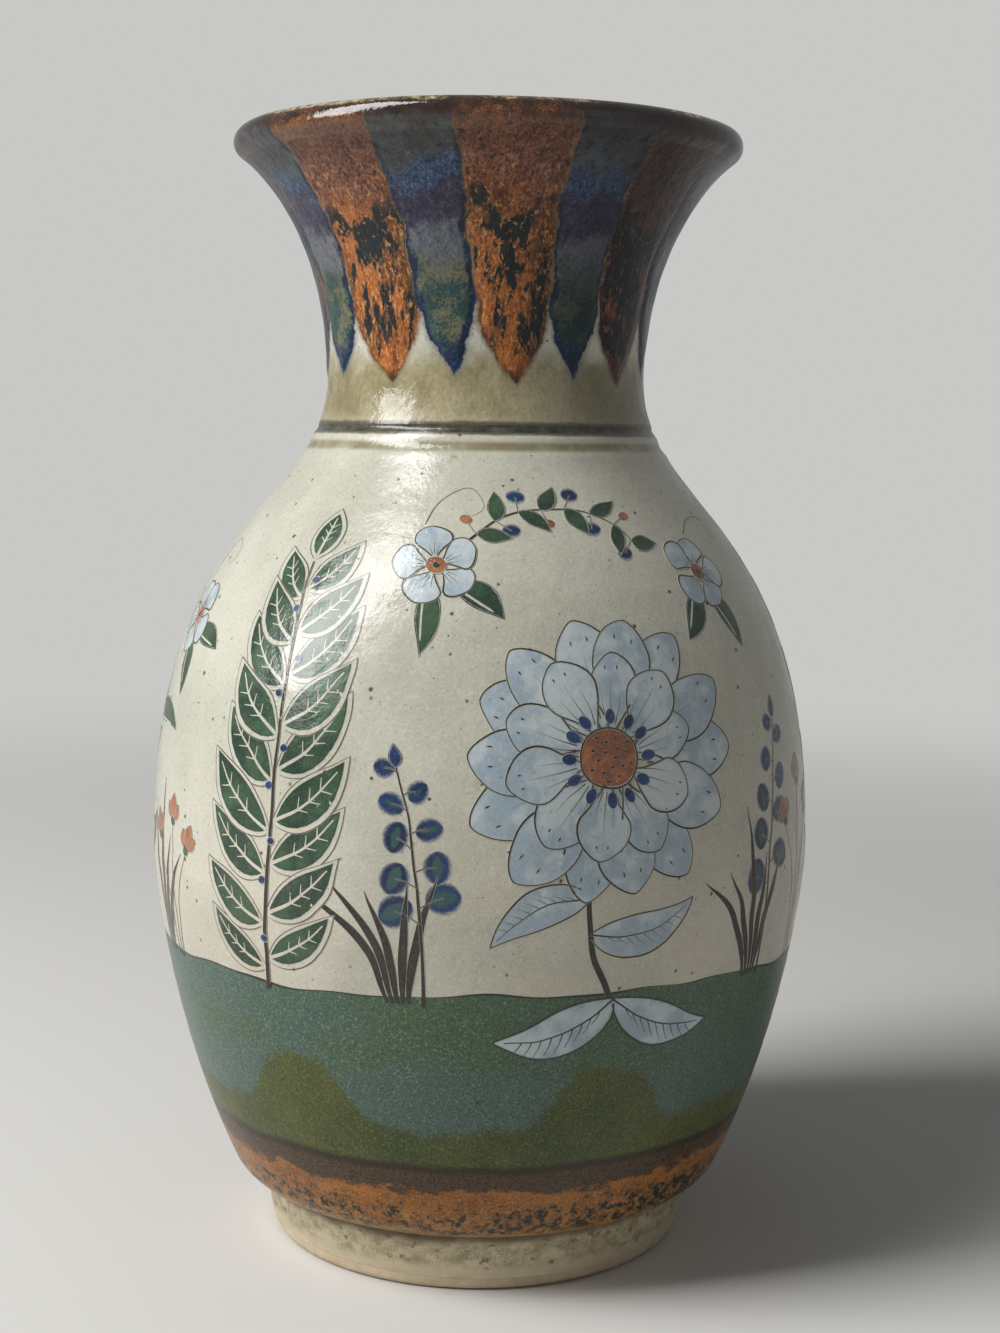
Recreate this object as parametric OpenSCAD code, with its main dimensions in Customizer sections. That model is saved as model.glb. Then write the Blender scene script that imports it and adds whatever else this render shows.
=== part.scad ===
// Wheel-thrown stoneware vase: turned foot, full belly, collared neck and flared lip, with its coats of
// glaze as separate layers on the clay. Millimetres, +Z up, origin at the centre of the face it stands on.

/* [Foot] */
// Radius of the clay foot where it meets the table
foot_base_r = 48.4; // [44:0.1:52]
// Radius of the clay foot at its top
foot_top_r = 49.8; // [46:0.1:53]
// Height of the foot
foot_h = 13.5; // [12:0.1:18]
// Radial width of the ring that touches the table
foot_ring_w = 8.4; // [6:0.1:12]
// Bevel round the lower outside edge of the foot
foot_bevel = 0.9; // [0.4:0.1:1.5]
// Height of bare clay left below the foot's thin glaze
foot_bare_h = 2.6; // [1.6:0.1:5]

/* [Body] */
// How far the body steps out over the top of the foot
foot_step = 1; // [0.7:0.1:2]
// Radius at the top of the rounded turn-in above the foot
bowl_base_r = 58.2; // [56:0.1:63]
// Height of that turn-in
turn_in_h = 5.1; // [4:0.1:8]
// Largest radius of the belly
belly_r = 76.7; // [70:0.1:88]
// Height of the largest radius
belly_z = 92.6; // [82:0.1:108]
// Smallest radius of the neck
neck_r = 36.6; // [30:0.1:43]
// Height of the smallest radius
neck_z = 200; // [190:0.5:212]
// Radius of the flare where the lip begins to round
flare_r = 56.8; // [50:0.1:64]
// Height of the flare where the lip begins to round
flare_z = 249.6; // [242:0.1:265]

/* [Walls] */
// Thickness of the fired clay wall
clay_wall = 5.1; // [4:0.1:7]
// Thickness of the clay floor
floor_t = 9.5; // [7:0.5:11]
// Height of the inside floor above the top of the foot
floor_rise = 0.5; // [0.5:0.1:4]
// Height of the ring of clay that makes the lip
lip_ring_h = 15; // [9:0.5:22]
// Thickness of the coats of glaze
glaze_t = 0.5; // [0.3:0.05:0.8]
// Thickness that the brushed tongues add to the neck's glaze
tongue_t = 0.4; // [0.2:0.05:0.7]

/* [Bands] */
// Height of the rust band, from the top of the foot
rust_band_h = 15.7; // [12:0.1:18]
// Height of the dark brown band
brown_band_h = 4.3; // [3:0.1:6]
// Height of the olive band
olive_band_h = 11.5; // [8:0.5:16]
// Height of the slate green ground band
ground_band_h = 27; // [20:0.5:34]
// Distance from the narrowest part of the neck down to the dark collar line
collar_drop = 12; // [10:0.5:15]
// Width of the dark collar line
collar_w = 1.6; // [1:0.1:2.4]
// Distance from the collar line down to the first fine groove
groove_drop = 4; // [3:0.1:6]
// Distance between the two fine grooves
groove_gap = 2.5; // [2:0.1:5]
// Radius of the tool that cuts the fine grooves
groove_r = 0.8; // [0.5:0.1:0.9]
// Depth of the fine grooves and of the collar line in the glaze
groove_depth = 0.2; // [0.1:0.05:0.25]
// Distance below the start of the lip's round to which its dark glaze runs
lip_glaze_drop = 1.1; // [0.5:0.1:6]

/* [Tongues] */
// Number of rust tongues round the neck, and of blue ones between them
tongue_pairs = 8; // [5:1:8]
// Angle of the first rust tongue, from the front towards the right
first_rust_angle = -40.5; // [-60:0.5:60]
// Half of the angle that a rust tongue covers
rust_half_angle = 12.4; // [9:0.1:12.6]
// Half of the angle that a blue tongue covers
blue_half_angle = 9.4; // [7:0.1:9.6]
// Distance from the narrowest part of the neck down to the rust tongues' tips
rust_tip_drop = 2; // [-5:0.5:5]
// Distance from the narrowest part of the neck down to the blue tongues' tips
blue_tip_drop = 0.5; // [-5:0.5:5]
// Height over which a tongue narrows to its tip
tip_run = 15.5; // [12:0.5:28]

/* [Hidden] */
$fn = 96;
steps = 16;               // spans in each curve of the outline
turn_steps = 6;           // spans in the tight curves of the turn-in, the corner and a tongue's tip
front_angle = -90;        // the front faces -Y
reach = 2 * belly_r;      // length that passes right through the vase
tip_fullness = 1.9;       // how full a tongue stays near its tip

// Fullness of the curves: how far each handle stands from its end, as a share of the curve's own reach.
turn_lean = [0.54, 0.12];
turn_under = 0.43;
bowl_lean = [0.703, 0.378];
belly_under = 0.162;
belly_over = 0.714;
neck_under = 0.279;
neck_over = 0.645;
flare_lean = [0.213, 0.0625];
corner_lean = 0.46;

wall = clay_wall + 2 * glaze_t;
foot_in_r = foot_base_r - foot_ring_w;
floor_z = foot_h + floor_rise;
recess = floor_z - floor_t;
lip_ring_z = flare_z + wall / 2 - lip_ring_h;
rust_top = foot_h + rust_band_h;
brown_top = rust_top + brown_band_h;
olive_top = brown_top + olive_band_h;
ground_top = olive_top + ground_band_h;
collar_z = neck_z - collar_drop;
collar_low = collar_z - collar_w / 2;
collar_high = collar_z + collar_w / 2;
lip_glaze_z = flare_z - lip_glaze_drop;
rust_tip_z = neck_z - rust_tip_drop;
blue_tip_z = neck_z - blue_tip_drop;
pitch = 360 / tongue_pairs;

// A point of the cubic curve through the ends c[0] and c[3], and the way it runs there.
function spot(c, t) =
    pow(1 - t, 3) * c[0] + 3 * pow(1 - t, 2) * t * c[1] + 3 * (1 - t) * t * t * c[2] + pow(t, 3) * c[3];
function run(c, t) =
    pow(1 - t, 2) * (c[1] - c[0]) + 2 * (1 - t) * t * (c[2] - c[1]) + t * t * (c[3] - c[2]);
function unit(v) = v / norm(v);
// The way into the clay, square to an outline that runs along v up the outside.
function inward(v) = [-unit(v)[1], unit(v)[0]];
// A curve sunk into the clay by depth; its first point is left out where another curve ends there.
function sunk(c, depth, count, first) =
    [for (i = [first:count]) spot(c, i / count) + depth * inward(run(c, i / count))];
function reversed(list) = [for (i = [len(list) - 1:-1:0]) list[i]];
function after_first(list) = [for (i = [1:len(list) - 1]) list[i]];

// The outside, from the top of the foot to where the lip begins to round.
function times(v, w) = [v[0] * w[0], v[1] * w[1]];
turn_start = [foot_top_r + foot_step, foot_h];
bowl_start = [bowl_base_r, foot_h + turn_in_h];
belly = [belly_r, belly_z];
neck = [neck_r, neck_z];
flare = [flare_r, flare_z];
bowl_pull = times(bowl_lean, belly - bowl_start);
flare_pull = times(flare_lean, flare - neck);
turn_curve = [turn_start, turn_start + times(turn_lean, bowl_start - turn_start),
              bowl_start - turn_under * turn_in_h * unit(bowl_pull), bowl_start];
bowl_curve = [bowl_start, bowl_start + bowl_pull,
              belly - [0, belly_under * (belly_z - bowl_start[1])], belly];
shoulder_curve = [belly, belly + [0, belly_over * (neck_z - belly_z)],
                  neck - [0, neck_under * (neck_z - belly_z)], neck];
flare_curve = [neck, neck + [0, neck_over * (flare_z - neck_z)], flare - flare_pull, flare];
function side(depth) = concat(
    sunk(bowl_curve, depth, steps, 0),
    sunk(shoulder_curve, depth, steps, 1),
    sunk(flare_curve, depth, steps, 1));
function outside(depth) = concat(
    [turn_start - [depth, 0]], sunk(turn_curve, depth, turn_steps, 1), after_first(side(depth)));

// The inside, from the middle of the floor to the lip: cover is the thickness of glaze on the clay.
function inside(cover) = let (
        depth = wall - glaze_t + cover,
        low = [foot_in_r, floor_z + cover],
        high = side(depth)[0],
        pull = corner_lean * (high[0] - low[0]))
    concat(
        [[0, floor_z + cover]],
        sunk([low, low + [pull, 0], high - pull * unit(bowl_pull), high], 0, turn_steps, 0),
        after_first(side(depth)));

// The round top of the wall, half a circle about the end of the flare.
lip_middle = flare + wall / 2 * inward(flare_pull);
lip_lean = atan2(flare_pull[1], flare_pull[0]) - 90;
function lip_round(depth) =
    [for (i = [1:steps - 1]) let (a = lip_lean + 180 * i / steps)
        lip_middle + (wall / 2 - depth) * [cos(a), sin(a)]];

// Outlines of the clay and of the glaze on its outside, its lip and its inside.
clay_outline = concat([[0, foot_h]], outside(glaze_t), lip_round(glaze_t), reversed(inside(0)));
outside_coat = concat(outside(0), reversed(outside(glaze_t)));
lip_coat = concat(
    side(0), lip_round(0), reversed(side(wall)), side(wall - glaze_t), reversed(lip_round(glaze_t)),
    reversed(side(glaze_t)));
inside_coat = concat(inside(0), reversed(inside(glaze_t)));

// Visible radius at a height on the outside.
outside_table = [for (p = side(0)) [p[1], p[0]]];
function radius_at(z) = lookup(z, outside_table);

// The outline between two heights and outside a radius, spun round the axis.
module spun(low, high, from_r = 0) {
    rotate_extrude() intersection() {
        children();
        translate([from_r, low]) square([reach, high - low]);
    }
}
module fine_groove(z) {
    translate([radius_at(z) + groove_r - groove_depth, z]) circle(groove_r);
}

// Clay, from the table up.
module foot_ring() {
    color("bisque") rotate_extrude() polygon([
        [foot_in_r, 0], [foot_base_r - foot_bevel, 0], [foot_base_r, foot_bevel],
        [foot_top_r, foot_h], [foot_in_r, foot_h]]);
}
module floor_disc() {
    color("tan") translate([0, 0, recess]) cylinder(h = floor_t, r = foot_in_r);
}
module bowl_wall() {
    color("tan") spun(foot_h, belly_z, foot_in_r) polygon(clay_outline);
}
module shoulder_wall() {
    color("burlywood") spun(belly_z, collar_z) polygon(clay_outline);
}
module neck_wall() {
    color("tan") spun(collar_z, lip_ring_z) polygon(clay_outline);
}
module lip_ring() {
    color("burlywood") spun(lip_ring_z, lip_ring_z + reach) polygon(clay_outline);
}

// Coats of glaze, from the foot up.
module foot_glaze() {
    bare_r = foot_base_r + (foot_top_r - foot_base_r) * (foot_bare_h - foot_bevel) / (foot_h - foot_bevel);
    color("lightgray") rotate_extrude() polygon([
        [bare_r, foot_bare_h], [bare_r + glaze_t, foot_bare_h + glaze_t], [foot_top_r + glaze_t, foot_h],
        [foot_top_r, foot_h]]);
}
module rust_band() {
    color("sienna") spun(foot_h, rust_top) polygon(outside_coat);
}
module brown_band() {
    color("#3a2a22") spun(rust_top, brown_top) polygon(outside_coat);
}
module olive_band() {
    color("darkolivegreen") spun(brown_top, olive_top) polygon(outside_coat);
}
module ground_band() {
    color("#4f6f66") spun(olive_top, ground_top) polygon(outside_coat);
}
module belly_glaze() {
    color("#d6d0bc") spun(ground_top, collar_low) difference() {
        polygon(outside_coat);
        fine_groove(collar_z - groove_drop);
        fine_groove(collar_z - groove_drop - groove_gap);
    }
}
module collar_line() {
    color("#4a4438") spun(collar_low, collar_high)
        polygon(concat(outside(groove_depth), reversed(outside(glaze_t))));
}
module neck_glaze() {
    color("#b8ae90") spun(collar_high, lip_glaze_z) polygon(outside_coat);
}
module lip_glaze() {
    color("#2b211c") spun(lip_glaze_z, lip_glaze_z + reach) polygon(lip_coat);
}
module liner_glaze() {
    color("#8f8a78") spun(0, lip_glaze_z) polygon(inside_coat);
}

// One tongue of glaze on the neck's coat: wide at the lip, drawn in to a point at its tip.
function share(z, tip_z) = 1 - pow(1 - min((z - tip_z) / tip_run, 1), tip_fullness);
function tongue_edge(half, tip_z) =
    [for (i = [0:turn_steps + steps])
        let (z = i < turn_steps
            ? tip_z + tip_run * i / turn_steps
            : tip_z + tip_run + (lip_glaze_z - tip_z - tip_run) * (i - turn_steps) / steps)
        [radius_at(z) * tan(half * share(z, tip_z)), z]];
module tongue(angle, half, tip_z) {
    edge = tongue_edge(half, tip_z);
    rotate(front_angle + angle) intersection() {
        rotate_extrude() polygon(concat(side(-tongue_t), reversed(side(0))));
        rotate([90, 0, 90]) linear_extrude(reach)
            polygon(concat(edge, reversed([for (p = edge) if (p[0] > 0) [-p[0], p[1]]])));
    }
}
module rust_tongue(i) {
    color("chocolate") tongue(first_rust_angle + (i - 1) * pitch, rust_half_angle, rust_tip_z);
}
module blue_tongue(i) {
    color("steelblue") tongue(first_rust_angle + (i - 0.5) * pitch, blue_half_angle, blue_tip_z);
}

foot_ring();
floor_disc();
bowl_wall();
shoulder_wall();
neck_wall();
lip_ring();
foot_glaze();
rust_band();
brown_band();
olive_band();
ground_band();
belly_glaze();
collar_line();
neck_glaze();
lip_glaze();
liner_glaze();
for (i = [1:tongue_pairs]) {
    rust_tongue(i);
    blue_tongue(i);
}
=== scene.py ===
import cmath
import math
import random

import bpy
import bmesh
import numpy as np
from mathutils import Matrix, Vector
from mathutils.noise import noise_vector as noiseVector, seed_set as seedNoise


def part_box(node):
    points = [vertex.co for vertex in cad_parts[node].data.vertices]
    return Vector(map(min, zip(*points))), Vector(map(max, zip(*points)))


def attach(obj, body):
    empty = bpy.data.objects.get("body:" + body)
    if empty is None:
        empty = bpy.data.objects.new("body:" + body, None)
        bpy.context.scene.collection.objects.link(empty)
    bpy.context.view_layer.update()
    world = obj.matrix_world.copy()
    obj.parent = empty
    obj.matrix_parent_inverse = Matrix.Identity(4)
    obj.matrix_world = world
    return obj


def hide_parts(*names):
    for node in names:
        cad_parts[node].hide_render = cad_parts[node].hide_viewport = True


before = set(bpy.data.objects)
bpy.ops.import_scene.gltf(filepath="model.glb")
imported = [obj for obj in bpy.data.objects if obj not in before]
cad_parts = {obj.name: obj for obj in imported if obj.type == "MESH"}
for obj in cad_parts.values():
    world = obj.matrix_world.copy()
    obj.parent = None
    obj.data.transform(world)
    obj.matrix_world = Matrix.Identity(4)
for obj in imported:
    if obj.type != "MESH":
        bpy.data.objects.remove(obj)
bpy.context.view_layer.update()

mm = 0.001
seedNoise(3)                         # without it the brush would wander another way each time
print("frame loaded:", len(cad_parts), "nodes")


view = {
    "place": (0.0042, -0.469, 0.1858),
    "pitch": 6.486,                  # degrees down
    "roll": 0.786,                   # the vase leans a little to the right
    "lens": 54.0,
    "sensor": 36.0,
    "nearest": 0.01,
}

camera = bpy.data.objects.new("camera", bpy.data.cameras.new("camera"))
bpy.context.scene.collection.objects.link(camera)
camera.data.lens = view["lens"]
camera.data.sensor_width = view["sensor"]
camera.data.clip_start = view["nearest"]
camera.location = view["place"]
tilt = Matrix.Rotation(math.radians(90 - view["pitch"]), 3, "X")
camera.rotation_euler = (tilt @ Matrix.Rotation(math.radians(view["roll"]), 3, "Z")).to_euler()
bpy.context.scene.camera = camera
bpy.context.scene.view_settings.view_transform = "Standard"

studio = {
    "backdrop": (0.58, 0.58, 0.57, 1),
    "skyColour": (0.97, 0.985, 1.0, 1),
    "skyLight": 0.15,
    "mirrored": 0.5,                 # how much of the backdrop shows in the glaze
    "floorColour": (0.70, 0.69, 0.66, 1),
    "floorRadius": 4.0,
    "floorSides": 96,
    "floorDrop": 0.0002,             # keeps the floor clear of the foot
    "fadeFrom": 0.25,                # metres out, where the floor starts to melt into the backdrop
    "fadeTo": 1.00,
    "aim": (0, 0, 0.14),             # what the lamps point at
    "window": {"from": (-0.74, -0.32, 0.68), "distance": 1.25, "size": (0.50, 1.10), "turn": -14,
               "power": 21.0},
    "fill": {"from": (0.75, -0.62, 0.30), "distance": 1.5, "size": (0.9, 0.9), "turn": 0, "power": 0.45},
}


def aimedLamp(name, spec):
    data = bpy.data.lights.new(name, "AREA")
    data.shape = "RECTANGLE"
    data.size, data.size_y = spec["size"]
    data.energy = spec["power"]
    lamp = bpy.data.objects.new(name, data)
    bpy.context.scene.collection.objects.link(lamp)
    away = Vector(spec["from"]).normalized()
    lamp.location = Vector(studio["aim"]) + away * spec["distance"]
    aim = away.to_track_quat("Z", "Y").to_matrix()
    lamp.rotation_euler = (aim @ Matrix.Rotation(math.radians(spec["turn"]), 3, "Z")).to_euler()


aimedLamp("windowLight", studio["window"])
aimedLamp("fillLight", studio["fill"])


# Adds a shader node, in the tree given or in the one a linked socket belongs to. Sockets are set or linked by
# name or number, settings by keyword.
def add(kind, sockets={}, tree=None, **settings):
    if tree is None:
        tree = next(value for value in sockets.values() if isinstance(value, bpy.types.NodeSocket)).id_data
    node = tree.nodes.new("ShaderNode" + kind)
    for name, value in settings.items():
        setattr(node, name, value)
    for name, value in sockets.items():
        if isinstance(value, bpy.types.NodeSocket):
            tree.links.new(value, node.inputs[name])
        else:
            node.inputs[name].default_value = value
    return node


def calc(operation, a, b=0.0, c=0.0):
    return add("Math", {0: a, 1: b, 2: c}, operation=operation).outputs[0]


def plus(a, b):
    return calc("ADD", a, b)


def minus(a, b):
    return calc("SUBTRACT", a, b)


def times(a, b):
    return calc("MULTIPLY", a, b)


def scaled(value, size, offset):
    return calc("MULTIPLY_ADD", value, size, offset)


def larger(a, b):
    return calc("MAXIMUM", a, b)


# How far a value lies from a middle, either way.
def apartFrom(value, middle):
    return calc("ABSOLUTE", minus(value, middle))


# From start at low to end at high, smooth between; low may be the larger.
def fade(value, low, high, start=0.0, end=1.0):
    sockets = {"Value": value, "From Min": low, "From Max": high, "To Min": start, "To Max": end}
    return add("MapRange", sockets, interpolation_type="SMOOTHSTEP").outputs["Result"]


# From the first tone to the second; a tone is (red, green, blue) or what another node gives.
def blend(share, first, second):
    first, second = ((*tone, 1) if isinstance(tone, tuple) else tone for tone in (first, second))
    return add("Mix", {0: share, 6: first, 7: second}, data_type="RGBA").outputs[2]


# Lays a second tone over the first where a value runs from low to high, no stronger than most.
def laid(tone, over, value, low, high, most=1.0):
    return blend(fade(value, low, high, 0.0, most), tone, over)


def noise(place, scale, detail=3.0, roughness=0.55):
    sockets = {"Vector": place, "Scale": scale, "Detail": detail, "Roughness": roughness}
    return add("TexNoise", sockets).outputs["Fac"]


# The place for a pattern drawn out up the vase; up is smaller the longer the pattern runs.
def stretched(place, up):
    return add("Mapping", {"Vector": place, "Scale": (1, 1, up)}).outputs[0]


def heightOf(place):
    return calc("DIVIDE", add("SeparateXYZ", {0: place}).outputs[2], mm)


# Round the vase from its front, in radians.
def angleOf(place):
    parts = add("SeparateXYZ", {0: place}).outputs
    return calc("ARCTAN2", parts[0], times(parts[1], -1.0))


def radiusOf(place):
    parts = add("SeparateXYZ", {0: place}).outputs
    return calc("SQRT", scaled(parts[0], parts[0], times(parts[1], parts[1])))


# A node group that takes a place and named numbers; make(given) gives what comes out of it.
def effect(name, make, numbers={}, gives={"Color": "Color"}):
    group = bpy.data.node_groups.new(name, "ShaderNodeTree")
    group.interface.new_socket("Place", in_out="INPUT", socket_type="NodeSocketVector")
    for label, value in numbers.items():
        group.interface.new_socket(label, in_out="INPUT", socket_type="NodeSocketFloat").default_value = value
    for label, kind in gives.items():
        group.interface.new_socket(label, in_out="OUTPUT", socket_type="NodeSocket" + kind)
    given = group.nodes.new("NodeGroupInput").outputs
    result = group.nodes.new("NodeGroupOutput").inputs
    for socket, made in zip(result, make(given)):
        group.links.new(made, socket)
    return group


def use(group, place, **sockets):
    return add("Group", {"Place": place, **sockets}, node_tree=group).outputs


# The top and the foot of a CAD piece, in millimetres.
def topOf(node):
    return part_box(node)[1][2] / mm


def footOf(node):
    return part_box(node)[0][2] / mm


# Round iron specks of mixed size, scattered one to a cell; spacing and size in millimetres.
def makeSpecks(given):
    warp = add("TexNoise", {"Vector": given["Place"], "Scale": 1400.0, "Detail": 1.0}).outputs["Color"]
    push = add("VectorMath", {0: warp, "Scale": 0.0004}, operation="SCALE").outputs[0]
    warped = add("VectorMath", {0: given["Place"], 1: push}, operation="ADD").outputs[0]
    perMetre = calc("DIVIDE", 1 / mm, given["Spacing"])
    cells = add("TexVoronoi", {"Vector": warped, "Scale": perMetre}).outputs
    chance = add("SeparateColor", {0: cells["Color"]}).outputs
    apart = times(cells["Distance"], given["Spacing"])
    radius = times(given["Size"], scaled(chance[1], 0.8, 0.2))
    dot = fade(calc("DIVIDE", apart, radius), 1.0, given["Core"])
    kept = calc("LESS_THAN", chance[0], given["Share"])
    return [times(dot, kept)]


specks = effect("ironSpecks", makeSpecks, {"Spacing": 2.0, "Size": 0.3, "Share": 0.4, "Core": 0.5},
                {"Mask": "Float"})


def speckled(tone, over, place, spacing, size, share, most, core=0.3):
    mask = use(specks, place, Spacing=spacing, Size=size, Share=share, Core=core)["Mask"]
    return blend(times(mask, most), tone, over)


# The skin of a fired glaze: slow swells, orange peel, grit and a few pinholes.
def makeSkin(given):
    swell = noise(given["Place"], 60.0, 2.0)
    peel = noise(given["Place"], 480.0, 2.0, 0.5)
    grit = noise(given["Place"], 1500.0, 2.0, 0.6)
    height = times(swell, 2.2)
    height = scaled(peel, 0.62, height)
    height = scaled(grit, 0.26, height)
    holes = use(specks, given["Place"], Spacing=3.1, Size=0.24, Share=0.16)["Mask"]
    height = scaled(holes, -0.4, height)
    height = times(height, given["Depth"])
    return [add("Bump", {"Strength": 1.0, "Distance": 0.00016, "Height": height}).outputs[0]]


skin = effect("glazeSkin", makeSkin, {"Depth": 1.0}, {"Normal": "Vector"})


# A glaze that breaks from one colour to another in soft clouds with speckled edges.
def makeBreak(given):
    broad = noise(given["Place"], given["Scale"], 4.0, 0.6)
    fine = noise(given["Place"], times(given["Scale"], 14.0), 2.0, 0.7)
    both = scaled(fine, given["Speckle"], broad)
    both = scaled(given["Speckle"], -0.5, both)
    both = plus(both, given["Lean"])
    return [fade(both, minus(0.5, given["Width"]), plus(0.5, given["Width"]))]


breaking = effect("breakingGlaze", makeBreak, {"Scale": 100.0, "Speckle": 0.3, "Width": 0.06, "Lean": 0.0},
                  {"Share": "Float"})


def breakShare(place, scale, speckle, width, lean=0.0):
    return use(breaking, place, Scale=scale, Speckle=speckle, Width=width, Lean=lean)["Share"]


# Clear glaze on grey-cream stoneware, with clouds, fine grain, iron specks and a few amber ones.
def makeCream(given):
    place = given["Place"]
    tone = blend(breakShare(place, 26.0, 0.12, 0.20), (0.445, 0.435, 0.350), (0.575, 0.56, 0.465))
    height = add("SeparateXYZ", {0: place}).outputs[2]
    warm = times(fade(height, 0.130, 0.075), fade(noise(place, 30.0), 0.3, 0.7))
    tone = blend(times(warm, 0.6), tone, (0.59, 0.51, 0.415))
    grain = noise(place, 1700.0, 4.0, 0.8)
    tone = laid(tone, (0.72, 0.71, 0.62), grain, 0.50, 0.70, 0.5)
    tone = laid(tone, (0.33, 0.31, 0.23), grain, 0.48, 0.28, 0.6)
    tone = speckled(tone, (0.14, 0.10, 0.06), place, 1.25, 0.30, 0.40, 0.70)
    tone = speckled(tone, (0.040, 0.030, 0.02), place, 3.2, 0.76, 0.48, 0.92, 0.35)
    tone = speckled(tone, (0.30, 0.18, 0.06), place, 9.0, 1.7, 0.36, 0.5, 0.1)
    return [tone]


cream = effect("creamStoneware", makeCream)


# The ground band's upper edge was drawn by hand: its waves as (height in mm, count, start).
groundWaves = ((1.1, 1, 2.0), (0.8, 3, 0.4), (0.40, 8, 2.0), (0.28, 15, 1.0), (0.16, 27, 0.5))
groundTop, groundReach = topOf("ground_band"), 7.0


# Slate green over the ground band, clouded with slate blue lower down and speckled all over.
def makeSlate(given):
    place = given["Place"]
    height = heightOf(place)
    flecks = noise(place, 1900.0, 4.0, 0.8)
    cloud = breakShare(stretched(place, 1.4), 26.0, 0.10, 0.14)
    lower = fade(scaled(noise(place, 40.0), 14.0, height), 68.0, 58.0)
    tone = blend(times(larger(cloud, lower), 0.9), (0.062, 0.112, 0.056), (0.070, 0.118, 0.104))
    tone = laid(tone, (0.30, 0.345, 0.25), flecks, 0.52, 0.68, 0.8)
    tone = laid(tone, (0.026, 0.052, 0.035), flecks, 0.47, 0.30, 0.7)
    return [speckled(tone, (0.012, 0.018, 0.012), place, 3.0, 0.5, 0.35, 0.85)]


slateGreen = effect("slateGreen", makeSlate)


# What a brushstroke thins out to: cream above the ground band's edge and slate green below it.
def makeUnder(given):
    place = given["Place"]
    angle = angleOf(place)
    above = minus(heightOf(place), groundTop)
    for size, count, start in groundWaves:
        above = scaled(calc("SINE", scaled(angle, count, start)), -size, above)
    return [blend(fade(above, -0.1, 0.1), use(slateGreen, place)[0], use(cream, place)[0])]


underPaint = effect("underPaint", makeUnder)


neckPattern = {
    "pairs": 8, "firstRust": -40.5, "rustHalf": 12.4, "blueHalf": 9.4,     # degrees
    "tipRun": 15.5, "fullness": 1.9,
    "stray": (1.8, 1.9, 10.0), "tipStray": (2.8, 3.4, 24.0),               # how the brush wandered, degrees
    "shake": ((0.50, 0.30, 11.0), (0.35, 0.62, -7.0)),                     # degrees, per mm up, per turn
    "rustTip": footOf("rust_tongue_1"), "blueTip": footOf("blue_tongue_1"), "top": topOf("neck_glaze"),
    # heights at which each belt of glaze starts and is full
    "cream": (200.0, 206.5), "honey": (212.0, 222.0), "silver": (220.0, 225.0), "lilac": (222.0, 227.0),
    "violet": (229.0, 232.5), "sky": (236.5, 239.0), "slate": (240.5, 244.0), "mauve": (233.0, 243.0),
}
# Two tones of each glaze on the neck, and the shader goes from the first to the second.
neckTones = {
    "beige": ((0.215, 0.18, 0.085), (0.40, 0.35, 0.215)),
    "honey": ((0.085, 0.105, 0.115), (0.26, 0.17, 0.075)),
    "teal": ((0.022, 0.062, 0.058), (0.009, 0.030, 0.030)),
    "navy": ((0.005, 0.015, 0.048), (0.025, 0.075, 0.17)),
    "lilac": ((0.15, 0.145, 0.135), (0.175, 0.170, 0.215)),
    "violet": ((0.024, 0.019, 0.044), (0.085, 0.078, 0.155)),
    "sky": ((0.014, 0.030, 0.085), (0.105, 0.170, 0.285)),
    "slate": ((0.046, 0.047, 0.041), (0.082, 0.110, 0.130)),
    "rust": ((0.125, 0.036, 0.011), (0.40, 0.122, 0.030)),
    "mauve": ((0.066, 0.026, 0.022), (0.310, 0.132, 0.082)),
    "seam": ((0.085, 0.042, 0.018), (0.25, 0.165, 0.085)),
    "frost": ((0.15, 0.17, 0.19), (0.32, 0.185, 0.125)),
}


def tongueStray(phi, z):
    share = min(1.0, max(0.0, (z - neckPattern["rustTip"]) / (neckPattern["top"] - neckPattern["rustTip"])))
    (a, b, c), (d, e, f) = neckPattern["stray"], neckPattern["tipStray"]
    lower = d + e * math.cos(2 * (phi + math.radians(f)))
    shake = sum(size * math.sin(up * z + round_ * phi) for size, up, round_ in neckPattern["shake"])
    return math.radians(a + b * math.sin(phi + math.radians(c)) + lower * (1 - share) ** 1.5 + shake)


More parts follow.
